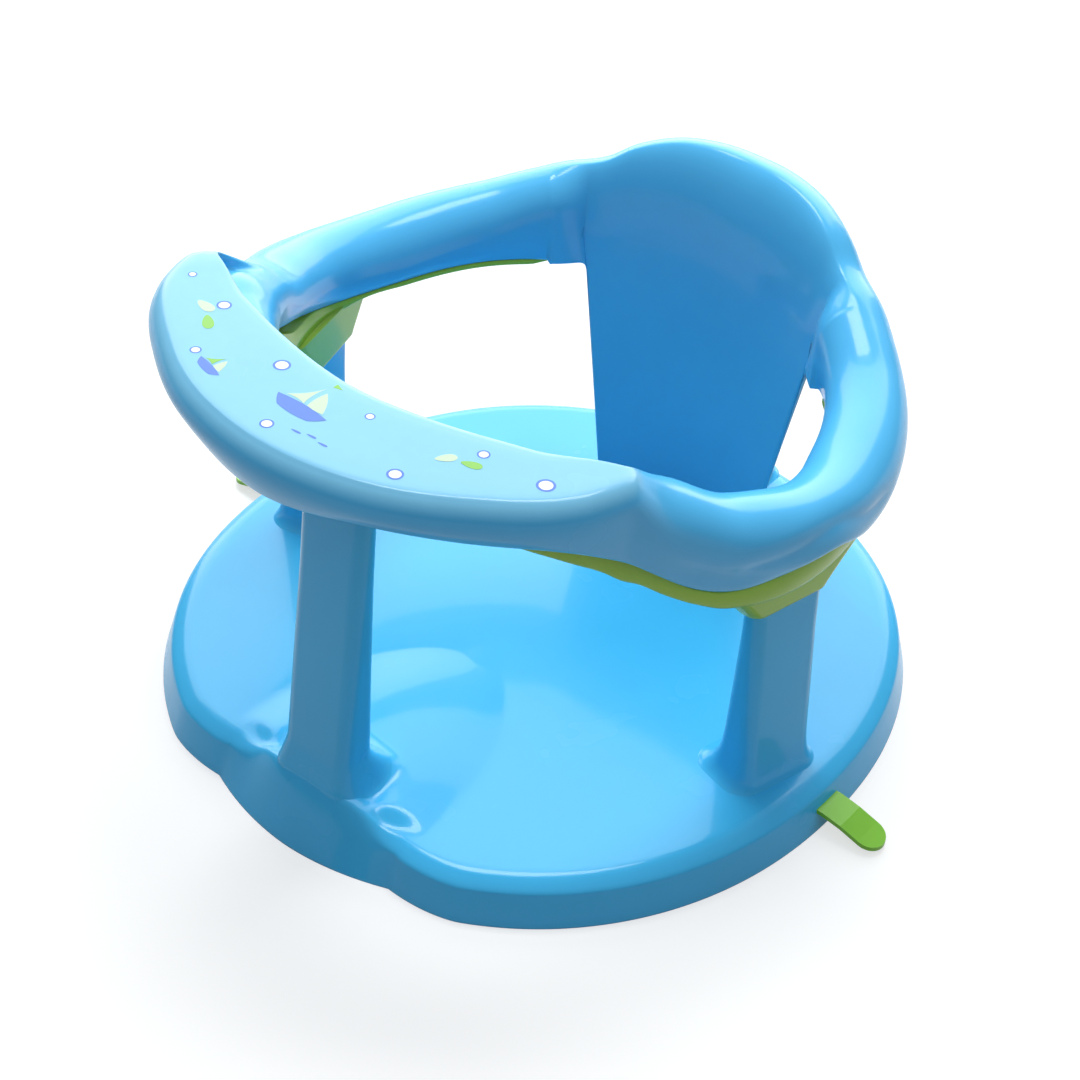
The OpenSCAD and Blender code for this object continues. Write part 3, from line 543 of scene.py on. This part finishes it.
def rounded_lip(one, other, down, times=(0.25, 0.5, 0.75)):
    """Points on a half round between two edges, which bulges along `down`."""
    middle, half = (one + other) / 2, (one - other) / 2
    size = np.linalg.norm(half, axis=1, keepdims=True) * LIP_BULGE
    return np.stack([middle + half * math.cos(t * math.pi) + down * size * math.sin(t * math.pi)
                     for t in times], 1)

HALF_ANGLES = np.concatenate([
    np.arange(0, 40, 1.0), np.arange(40, 66, 0.5), np.arange(66, 136, 1.25),
    np.arange(136, 147, 0.5), [147, 147.3, 147.6, 147.8, 147.95, 148, 148.05, 148.15],
    [148.3, 148.5, 148.8, 149.2], np.arange(150, 180, 1.2)])
RING_ANGLES = np.concatenate([HALF_ANGLES, [180.0], -HALF_ANGLES[:0:-1]])
PER_POINT = 3
outer = finer(np.stack([ring_control(a) for a in RING_ANGLES]), PER_POINT)
print("sections round the ring:", len(RING_ANGLES), "with", outer.shape[1], "points each")

# %% [markdown]
# Two touches make the ring read as moulded: the tray's end flows into the arm, because the
# points there are evened out along the ring, and low on the arm's outside the round ends in a
# crease above a flatter band.

# %% Tray ends and crease
EVEN_FROM, EVEN_TO, EVEN_TIMES = 47.5, 67.0, 50
CREASE_FROM, CREASE_TO, CREASE_RISE, CREASE_FADE, CREASE_DEPTH = 61.0, 106.0, 11.0, 9.0, 1.8
away = np.abs(RING_ANGLES)
soften = (ease((away - EVEN_FROM) / 3) * ease((EVEN_TO - away) / 4))[:, None, None]
for _ in range(EVEN_TIMES):
    evened = (np.roll(outer, 1, 0) + 2 * outer + np.roll(outer, -1, 0)) / 4
    outer = mix(outer, evened, soften)

outside = CREST * PER_POINT
for i, a in enumerate(RING_ANGLES):
    share = float(ease((abs(a) - CREASE_FROM) / 8) * ease((CREASE_TO - abs(a)) / 9))
    if share > 0:
        rise = outer[i, :outside, 2] - station(a)[7]
        above = np.clip(1 - (rise - CREASE_RISE) / CREASE_FADE, 0, 1)
        tuck = np.where(rise < CREASE_RISE, rise / CREASE_RISE, above)
        radial = np.array([math.sin(math.radians(a)), -math.cos(math.radians(a))])
        depth = CREASE_DEPTH * share * (np.maximum(tuck, 0) ** 1.5)[:, None]
        outer[i, :outside, :2] -= depth * radial
print("widest point of the ring:", np.abs(outer[:, :, 0]).max().round(1), "mm from the middle")

# %% [markdown]
# The inner skin lies a wall's thickness inside the outer one, and a half round closes each lower
# edge. The back rest's side edges narrow to a round as well, so that they don't end in a cut.

# %% Skin of the ring
EDGE_LOW, EDGE_FADE = 121.0, 12.0
INSIDE = (WALL_FROM - 1) * PER_POINT + 1
normals = skin_normals(outer)
onto_panel = ease((away - CROWN_SIDE) / (PANEL_START - CROWN_SIDE))[:, None, None]
level = np.stack([panel_normal(a) for a in RING_ANGLES])[:, None, :]
flat = np.broadcast_to(level, normals[:, INSIDE:].shape)
normals[:, INSIDE:] = mix(normals[:, INSIDE:], flat, onto_panel)
inner = outer - RING_WALL * normals
beside = np.clip((away - PANEL_START) * 1.9 / 1.5, 0, 1)[:, None]
edge_share = np.sqrt(1 - (1 - beside) ** 2)
high = ease((outer[:, :, 2] - EDGE_LOW) / EDGE_FADE)
width = mix(np.maximum(edge_share, 0.02), 1, high)
width = mix(1, width, ease(away - (PANEL_START - 1))[:, None])[:, INSIDE:, None]
middle = (outer[:, INSIDE:] + inner[:, INSIDE:]) / 2
outer[:, INSIDE:] = middle + (outer[:, INSIDE:] - middle) * width
inner[:, INSIDE:] = middle + (inner[:, INSIDE:] - middle) * width
# The hidden inner skin does with fewer columns over the crest.
keep = np.r_[0:18, 24:48:4, 48:outer.shape[1]]
down = np.array([0, 0, -1.0])
loops = np.concatenate([outer, rounded_lip(outer[:, -1], inner[:, -1], down),
                        inner[:, keep][:, ::-1], rounded_lip(inner[:, 0], outer[:, 0], down)], 1)
faces = grid_faces(*loops.shape[:2], wrap_rows=True)
ring = new_piece("ring_moulding", loops, faces, RING_BLUE)
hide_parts("upper_ring")
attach(ring, "root")

# %% [markdown]
# ## The print on the tray
# The tray carries a light print: white bubbles with a blue rim, two boats, leaves and dashes.
# The bubbles follow a rule, so that a node tree lays them out: they step round the tray, swing to
# and fro between its edges and change in size. The print lies a tenth of a millimetre proud.

# %% Inks and the bubble rule
PRINT_Z = TRAY_TOP + 0.1

def ink(name, color):
    return plastic(name, color, roughness=0.3, mottle=0.03, ripple=0.05)

INK_BLUE = ink("blue ink", (0.05, 0.17, 0.62))
INK_WHITE = ink("white ink", (0.82, 0.86, 0.92))
INK_CREAM = ink("cream ink", (0.50, 0.68, 0.46))
INK_LIME = ink("lime ink", (0.20, 0.52, 0.05))
DISC_LIFT, DISC_CORNERS = 0.00005, 28

def bubble_tree():
    """A node tree that lays rimmed bubbles round the tray, in metres and degrees."""
    tree = bpy.data.node_groups.new("bubble print", "GeometryNodeTree")
    face, nodes, links = tree.interface, tree.nodes, tree.links
    face.new_socket("Geometry", in_out="OUTPUT", socket_type="NodeSocketGeometry")
    for name, value in (("First angle", -40.0), ("Angle step", 9.4), ("Middle radius", 0.148),
                        ("End drop", 0.006), ("Swing", 0.0135), ("Height", PRINT_Z * MM),
                        ("Smallest", 0.0018), ("Largest", 0.0036), ("Rim", 0.72)):
        face.new_socket(name, in_out="INPUT", socket_type="NodeSocketFloat").default_value = value
    face.new_socket("Count", in_out="INPUT", socket_type="NodeSocketInt").default_value = 9
    given = nodes.new("NodeGroupInput").outputs

    def math_node(operation, a, b=0.0):
        node = nodes.new("ShaderNodeMath")
        node.operation = operation
        for socket, value in zip(node.inputs, (a, b)):
            if isinstance(value, (int, float)):
                socket.default_value = value
            else:
                links.new(value, socket)
        return node.outputs[0]

    index = nodes.new("GeometryNodeInputIndex").outputs[0]
    steps = math_node("MULTIPLY", given["Angle step"], index)
    degrees = math_node("ADD", given["First angle"], steps)
    turn = math_node("RADIANS", degrees)
    far = math_node("POWER", math_node("DIVIDE", math_node("ABSOLUTE", degrees), 45.0), 2.0)
    side = math_node("COSINE", math_node("MULTIPLY", index, math.pi))
    swing = math_node("MULTIPLY", given["Swing"], side)
    swing = math_node("MULTIPLY", swing, math_node("SUBTRACT", 1.0, far))
    drop = math_node("MULTIPLY", given["End drop"], far)
    radius = math_node("ADD", math_node("SUBTRACT", given["Middle radius"], drop), swing)
    spot = nodes.new("ShaderNodeCombineXYZ")
    links.new(math_node("MULTIPLY", radius, math_node("SINE", turn)), spot.inputs["X"])
    across = math_node("MULTIPLY", radius, math_node("COSINE", turn))
    links.new(math_node("SUBTRACT", RING_Y * MM, across), spot.inputs["Y"])
    links.new(given["Height"], spot.inputs["Z"])
    points = nodes.new("GeometryNodePoints")
    links.new(given["Count"], points.inputs["Count"])
    links.new(spot.outputs[0], points.inputs["Position"])
    share = math_node("FRACT", math_node("MULTIPLY", index, 0.618))
    span = math_node("SUBTRACT", given["Largest"], given["Smallest"])
    size = math_node("ADD", given["Smallest"], math_node("MULTIPLY", span, share))
    disc_size = math_node("MULTIPLY", size, given["Rim"])
    join = nodes.new("GeometryNodeJoinGeometry")
    for material, scale, lift in ((INK_BLUE, size, 0.0), (INK_WHITE, disc_size, DISC_LIFT)):
        disc = nodes.new("GeometryNodeMeshCircle")
        disc.fill_type = "NGON"
        disc.inputs["Vertices"].default_value = DISC_CORNERS
        disc.inputs["Radius"].default_value = 1.0
        spread = nodes.new("GeometryNodeInstanceOnPoints")
        links.new(points.outputs[0], spread.inputs["Points"])
        links.new(disc.outputs["Mesh"], spread.inputs["Instance"])
        links.new(scale, spread.inputs["Scale"])
        raised = nodes.new("GeometryNodeTranslateInstances")
        raised.inputs["Translation"].default_value = (0, 0, lift)
        links.new(spread.outputs["Instances"], raised.inputs["Instances"])
        solid = nodes.new("GeometryNodeRealizeInstances")
        links.new(raised.outputs["Instances"], solid.inputs["Geometry"])
        inked = nodes.new("GeometryNodeSetMaterial")
        inked.inputs["Material"].default_value = material
        links.new(solid.outputs["Geometry"], inked.inputs["Geometry"])
        links.new(inked.outputs["Geometry"], join.inputs["Geometry"])
    links.new(join.outputs["Geometry"], nodes.new("NodeGroupOutput").inputs["Geometry"])
    return tree

print("inks:", [m.name for m in (INK_BLUE, INK_WHITE, INK_CREAM, INK_LIME)])

# %% [markdown]
# The tree's inputs are the rule's numbers. Once they are set, the result is kept as a plain mesh.

# %% Bubbles on the tray
def grown(name, tree, slot, **values):
    """A plain mesh from a node tree with some of its inputs set."""
    seed = bpy.data.objects.new(name + "_seed", bpy.data.meshes.new(name + "_seed"))
    bpy.context.scene.collection.objects.link(seed)
    modifier = seed.modifiers.new("rule", "NODES")
    modifier.node_group = tree
    sockets = {item.name: item.identifier for item in tree.interface.items_tree
               if item.item_type == "SOCKET"}
    for key, value in values.items():
        modifier[sockets[key.replace("_", " ")]] = value
    graph = bpy.context.evaluated_depsgraph_get()
    mesh = bpy.data.meshes.new_from_object(seed.evaluated_get(graph))
    seed.modifiers.remove(modifier)
    bpy.data.objects.remove(seed)
    for k in [k for k, material in enumerate(mesh.materials) if material is None][::-1]:
        mesh.materials.pop(index=k)
    piece = bpy.data.objects.new(name, mesh)
    bpy.context.scene.collection.objects.link(piece)
    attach(piece, "root")
    print(name, len(mesh.polygons), "faces,", [m.name for m in mesh.materials])
    return piece

grown("print_bubbles", bubble_tree(), "ring_blue", Count=9)

# %% [markdown]
# The boats, leaves and dashes are flat outlines about one unit in size, each with its ink. They
# are laid on the tray at an angle from the front, with a size in millimetres and a turn.

# %% Boats and leaves
def print_shape(shapes, angle, radius, size, turn):
    """Flat shapes on the tray; each is its outline and its ink."""
    a = math.radians(angle)
    centre = np.array([radius * math.sin(a), -radius * math.cos(a)])
    turned = turned_by(math.radians(turn))
    pieces = []
    for n, (outline_2d, material) in enumerate(shapes):
        flat = np.asarray(outline_2d, float) * size @ turned.T + centre
        points = np.column_stack([flat, np.full(len(flat), PRINT_Z)])
        name = "print_%d_%d" % (int(angle * 10) % 3600, n)
        pieces.append(new_piece(name, points, [tuple(range(len(points)))], material))
    return pieces

def leaf(x, y, length, width, turn):
    """An oval with a blunt and a narrow end."""
    t = np.linspace(0, 2 * math.pi, 28, endpoint=False)
    a = math.radians(turn)
    px, py = length / 2 * np.cos(t), width / 2 * np.sin(t) * (1 + 0.3 * np.cos(t))
    return np.column_stack([x + px * math.cos(a) - py * math.sin(a),
                            y + px * math.sin(a) + py * math.cos(a)])

def curve_between(*corners, bend=0.0, steps=8):
    """A closed outline whose sides bulge outwards by a share of their length."""
    points = []
    for p, q in zip(corners, corners[1:] + corners[:1]):
        p, q = np.array(p, float), np.array(q, float)
        for k in range(steps):
            s = k / steps
            outwards = np.array([q[1] - p[1], p[0] - q[0]])
            points.append(mix(p, q, s) + outwards * bend * 4 * s * (1 - s))
    return points

HULL = curve_between((-1.0, -0.12), (-0.62, -0.55), (0.62, -0.55), (1.0, -0.12), bend=0.05)
SAIL = curve_between((-0.06, 0.0), (-0.06, 1.15), (-0.78, 0.0), bend=-0.08)
JIB = curve_between((0.08, 0.0), (0.72, 0.0), (0.08, 0.85), bend=0.06)
FLAG = curve_between((-0.04, 1.18), (0.30, 1.28), (-0.04, 1.40), bend=0.0)
BOAT = [(HULL, INK_BLUE), (SAIL[::-1], INK_CREAM), (JIB, INK_CREAM), (FLAG, INK_LIME)]
SMALL_BOAT = [(HULL, INK_BLUE), (SAIL[::-1], INK_LIME), (JIB, INK_CREAM)]
LEAVES = [(leaf(-1.2, 0.1, 2.0, 1.0, 20), INK_CREAM), (leaf(1.1, -0.35, 2.0, 0.95, -12), INK_LIME)]
DASHES = [(leaf(k * 1.5, 0.15 * (-1) ** k, 1.1, 0.26, 0), INK_BLUE) for k in (-1, 0, 1)]
LAYOUT = [
    (BOAT, -2.0, 144.0, 12.0, -2.0),
    (SMALL_BOAT, -17.0, 156.0, 7.0, -17.0),
    (LEAVES, -29.0, 145.0, 4.6, -29.0),
    (DASHES, 3.5, 157.0, 4.0, 3.0),
    (LEAVES, 23.0, 143.0, 4.0, 30.0),
]
prints = [piece for place in LAYOUT for piece in print_shape(*place)]
boats = joined(prints[0], *prints[1:])
boats.name = "print_boats_and_leaves"
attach(boats, "root")

# %% [markdown]
# ## The green ring
# It is an open channel that closes the blue ring from below. Its flange shows as a thin green
# line under the arm, and round the post tops it swells into cups.

# %% Skin of the green ring
LINER_INSET, LINER_HEIGHT, BEHIND_PANEL, WALL_LEAN = 7.0, 13.0, 5.0, 3.5

def liner_loop(angle):
    """The channel's section: outer rim, its bottom and walls, and the lip at its inner side."""
    v, w = station(angle), LINER_WALL
    inner = v[4] - v[6] + LINER_INSET + BEHIND_PANEL * ease((abs(angle) - 138) / 10)
    lip = inner - (LINER_INSET - WALL_LEAN) * (1 - ease((abs(angle) - 135) / 5)) - 0.1
    lip_top = min(v[8] - 0.8, v[9] + LINER_HEIGHT - 2)
    out = min(v[10], ring_section(angle)[0, 0] - RING_WALL - 0.6)
    rim, low, up = v[10], v[9], min(v[9] + LINER_HEIGHT, v[3] - 8)
    rim_top = max(low + 2.2, min(v[7] - 0.8, low + LINER_HEIGHT - 1))
    wall = min(out, rim - 0.5)
    return placed(angle, np.array([
        [rim - 1.5, low], [rim - 0.4, low + 0.4], [rim, low + 1.5], [rim, rim_top - 0.5],
        [rim - 0.4, rim_top], [wall, rim_top], [wall, up], [out - w, up], [out - w, low + w],
        [inner + w, low + w], [inner + w, up], [inner, up], [inner, lip_top],
        [lip + 0.4, lip_top], [lip, lip_top - 0.4], [lip, low + 0.9],
        [lip + 0.3, low + 0.3], [lip + 0.9, low]]))

loops = np.stack([liner_loop(a) for a in RING_ANGLES])
faces = grid_faces(*loops.shape[:2], wrap_rows=True, flip=True)
liner = new_piece("green_channel", loops, faces, GREEN)

# %% [markdown]
# A cup is a socket with an inside and an outside: the inside takes the post's tip with a small
# gap, and the outside swells upwards until it meets the channel. The two at the sides hang
# lower, swell evenly and lean to the front. The left one is the right one's mirror image.

# %% Green cups over the posts
SOCKET_DEPTH, SOCKET_GAP, CUP_FLARE, CUP_BULGE = 11.0, 0.4, 17.0, 2.0
SIDE_CUP_RISE, SIDE_CUP_DEPTH, SIDE_CUP_SWELL, SIDE_CUP_SWEEP = 2.0, 22.0, 1.0, 3.0

def cup_skin(top, half, turn, place, rise=0.0, lean=POST_DRAFT,
             depth=SOCKET_DEPTH, swell=2.0, sweep=0.0):
    """Rings of one cup, from high on its inside round its lower edge and up its outside."""
    turned = turned_by(turn)
    grow = SOCKET_GAP + LINER_WALL
    middle = -lean * (top - FLOOR) - POST_TIP / 2
    rings = []
    for side, shares in ((1, np.linspace(0, 1, 22)), (0, [1.0])):
        for share in shares:
            a = half + grow + CUP_FLARE * share**swell
            b = POST_TIP / 2 + grow + CUP_BULGE * share
            if not side:
                a, b = a * 0.1, b * 0.1
            p = rounded_rect(a, b, b - 0.5 if side else b * 0.9, 16)
            p[:, 0] += sweep * share**0.7 * side
            z = mix(top - depth, top + LINER_WALL, share) + rise * (1 - share) * ease(-p[:, 0] / a)
            p = (p + [0, middle]) @ turned.T + place
            rings.append(np.column_stack([p, z]))
    inside = rounded_rect(half + SOCKET_GAP, POST_TIP / 2 + SOCKET_GAP, 4.0, 16)
    for z in (top - depth + 0.4, top - 0.5):
        p = (inside + [0, middle]) @ turned.T + place
        lift = rise * ease(-inside[:, 0] / (half + grow)) if z < top - 1 else 0
        rings.insert(0, np.column_stack([p, np.full(len(p), z) + lift]))
    return np.stack(rings)

def cup(name, *where):
    skin = cup_skin(*where)
    return new_piece(name, skin, grid_faces(*skin.shape[:2]), GREEN)

SIDE_CUP = (SIDE_TOP, SIDE_HALF, -SIDE_TURN, RIGHT_FOOT, SIDE_CUP_RISE, POST_DRAFT,
            SIDE_CUP_DEPTH, SIDE_CUP_SWELL, SIDE_CUP_SWEEP)
right_cup = cup("cup_right", *SIDE_CUP)
mirrored = cup_skin(*SIDE_CUP) * [-1, 1, 1]
faces = grid_faces(*mirrored.shape[:2], flip=True)
left_cup = new_piece("cup_left", mirrored, faces, GREEN)
liner = joined(liner, right_cup, left_cup,
               cup("cup_front", FRONT_TOP, END_HALF, math.pi, FRONT_FOOT),
               cup("cup_back", BACK_TOP, END_HALF, 0.0, BACK_FOOT, 0.0, BACK_DRAFT))
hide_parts("lower_ring")
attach(liner, "root")

# %% [markdown]
# ## The other pieces
# The cups and the screws keep their CAD shapes and get their finishes.

# %% Finishes of the carried-over pieces
FINISHES = {"ring_screws": STEEL, "suction_cup_left": LIME,
            "suction_cup_right": LIME, "suction_cup_front": LIME, "suction_cup_back": LIME}
for name, material in FINISHES.items():
    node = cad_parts[name]
    node.data.materials.clear()
    node.data.materials.append(material)
print("carried over:", sorted(FINISHES))

# %% [markdown]
# ## Camera, floor and light
# The camera looks down on the seat from its front right, as in the photograph, with a slight
# roll. Its place and its lens were worked out from the seat's symmetry and level edges.

# %% Camera
AZIMUTH, ELEVATION, ROLL = math.radians(36.1), math.radians(39.0), math.radians(4.3)
DISTANCE, ASIDE, ABOVE = 990.0, -3.0, 46.7
FOCAL_PIXELS, FRAME_PIXELS, SENSOR = 2200.0, 1080.0, 36
back = Vector((math.sin(AZIMUTH) * math.cos(ELEVATION), -math.cos(AZIMUTH) * math.cos(ELEVATION),
               math.sin(ELEVATION)))
right = Vector((math.cos(AZIMUTH), math.sin(AZIMUTH), 0))
up = back.cross(right)
spot = (back * DISTANCE + right * ASIDE + up * ABOVE + Vector((0, RING_Y, 0))) * MM
camera_data = bpy.data.cameras.new("camera")
camera_data.sensor_width = SENSOR
camera_data.lens = SENSOR * FOCAL_PIXELS / FRAME_PIXELS
camera = bpy.data.objects.new("camera", camera_data)
x_axis = right * math.cos(ROLL) + up * math.sin(ROLL)
y_axis = up * math.cos(ROLL) - right * math.sin(ROLL)
facing = Matrix((x_axis, y_axis, back)).transposed().to_4x4()
camera.matrix_world = Matrix.Translation(spot) @ facing
bpy.context.scene.collection.objects.link(camera)
bpy.context.scene.camera = camera
print("lens", round(camera_data.lens, 1), "mm, camera at", [round(v, 3) for v in spot])

# %% [markdown]
# The seat stands on white, as in a shop's picture. White floor and walls would wash out its
# colours, so they only look white: the floor glows to the camera and in reflections, and the
# world is white to the camera alone. The seat itself is lit by a grey floor, a soft sky and the
# lamps.

# %% Floor and world
def seen_directly(nodes, links):
    """1 for camera, glossy and transmission rays, 0 for the light that reaches the seat."""
    path = nodes.new("ShaderNodeLightPath")
    total = None
    for ray in ("Is Camera Ray", "Is Glossy Ray", "Is Transmission Ray"):
        if total is None:
            total = path.outputs[ray]
            continue
        add = nodes.new("ShaderNodeMath")
        add.operation = "MAXIMUM"
        links.new(total, add.inputs[0])
        links.new(path.outputs[ray], add.inputs[1])
        total = add.outputs[0]
    return total

floor_mesh = bpy.data.meshes.new("floor")
W = 6
floor_mesh.from_pydata([(-W, -W, 0), (W, -W, 0), (W, W, 0), (-W, W, 0)], [], [(0, 1, 2, 3)])
floor = bpy.data.objects.new("floor", floor_mesh)
bpy.context.scene.collection.objects.link(floor)
floor_material = bpy.data.materials.new("pale floor")
floor_material.use_nodes = True
nodes, links = floor_material.node_tree.nodes, floor_material.node_tree.links
dull = nodes["Principled BSDF"]
dull.inputs["Base Color"].default_value = (0.42, 0.42, 0.42, 1)
dull.inputs["Roughness"].default_value = 0.9
dull.inputs["Specular IOR Level"].default_value = 0.0
glow = nodes.new("ShaderNodeEmission")
links.new(seen_directly(nodes, links), glow.inputs["Strength"])
glow.inputs["Color"].default_value = (0.64, 0.64, 0.64, 1)
total = nodes.new("ShaderNodeAddShader")
links.new(dull.outputs["BSDF"], total.inputs[0])
links.new(glow.outputs["Emission"], total.inputs[1])
links.new(total.outputs["Shader"], nodes["Material Output"].inputs["Surface"])
floor_mesh.materials.append(floor_material)

world = bpy.data.worlds.new("studio")
bpy.context.scene.world = world
world.use_nodes = True
nodes, links = world.node_tree.nodes, world.node_tree.links
soft = nodes["Background"]
soft.inputs["Strength"].default_value = 1.0
way = nodes.new("ShaderNodeTexCoord")
split = nodes.new("ShaderNodeSeparateXYZ")
links.new(way.outputs["Generated"], split.inputs["Vector"])
sky = nodes.new("ShaderNodeMix")
sky.data_type = "RGBA"
sky.inputs["A"].default_value = (0.10, 0.12, 0.15, 1)
sky.inputs["B"].default_value = (0.60, 0.64, 0.68, 1)
links.new(split.outputs["Z"], sky.inputs["Factor"])
links.new(sky.outputs["Result"], soft.inputs["Color"])
white = nodes.new("ShaderNodeBackground")
white.inputs["Color"].default_value = (1, 1, 1, 1)
blend = nodes.new("ShaderNodeMixShader")
path = nodes.new("ShaderNodeLightPath")
links.new(path.outputs["Is Camera Ray"], blend.inputs["Fac"])
links.new(soft.outputs["Background"], blend.inputs[1])
links.new(white.outputs["Background"], blend.inputs[2])
links.new(blend.outputs["Shader"], nodes["World Output"].inputs["Surface"])
print("floor", 2 * W, "m wide, world:", world.name)

# %% [markdown]
# A small softbox overhead gives the crisp highlights. The broad light from behind is split in
# two lamps that hang close together: one lights the seat but doesn't show in reflections, and
# the other shows only as a sheen on the gloss.

# %% Lamps
def lamp(name, place, target, size, energy):
    data = bpy.data.lights.new(name, "AREA")
    data.shape = "RECTANGLE"
    data.size, data.size_y = size
    data.energy = energy
    light = bpy.data.objects.new(name, data)
    aim = (Vector(target) - Vector(place)).to_track_quat("-Z", "Y")
    light.matrix_world = Matrix.Translation(place) @ aim.to_matrix().to_4x4()
    bpy.context.scene.collection.objects.link(light)
    return light

lamp("overhead softbox", (-0.25, 0.35, 1.5), (0, 0, 0.1), (0.8, 0.36), 13)
wall = lamp("back wall light", (-1.0, 1.37, 1.15), (0, 0, 0.1), (2.6, 1.7), 31)
wall.visible_glossy = False
shine = lamp("back wall shine", (-1.0, 1.37, 1.02), (0, 0, 0.1), (3.0, 2.0), 72)
shine.visible_diffuse = False
print("lamps:", [light.name for light in bpy.data.lights])

# %% [markdown]
# Last, the scene's view transform is set to Standard.

# %% View transform
bpy.context.scene.view_settings.view_transform = "Standard"
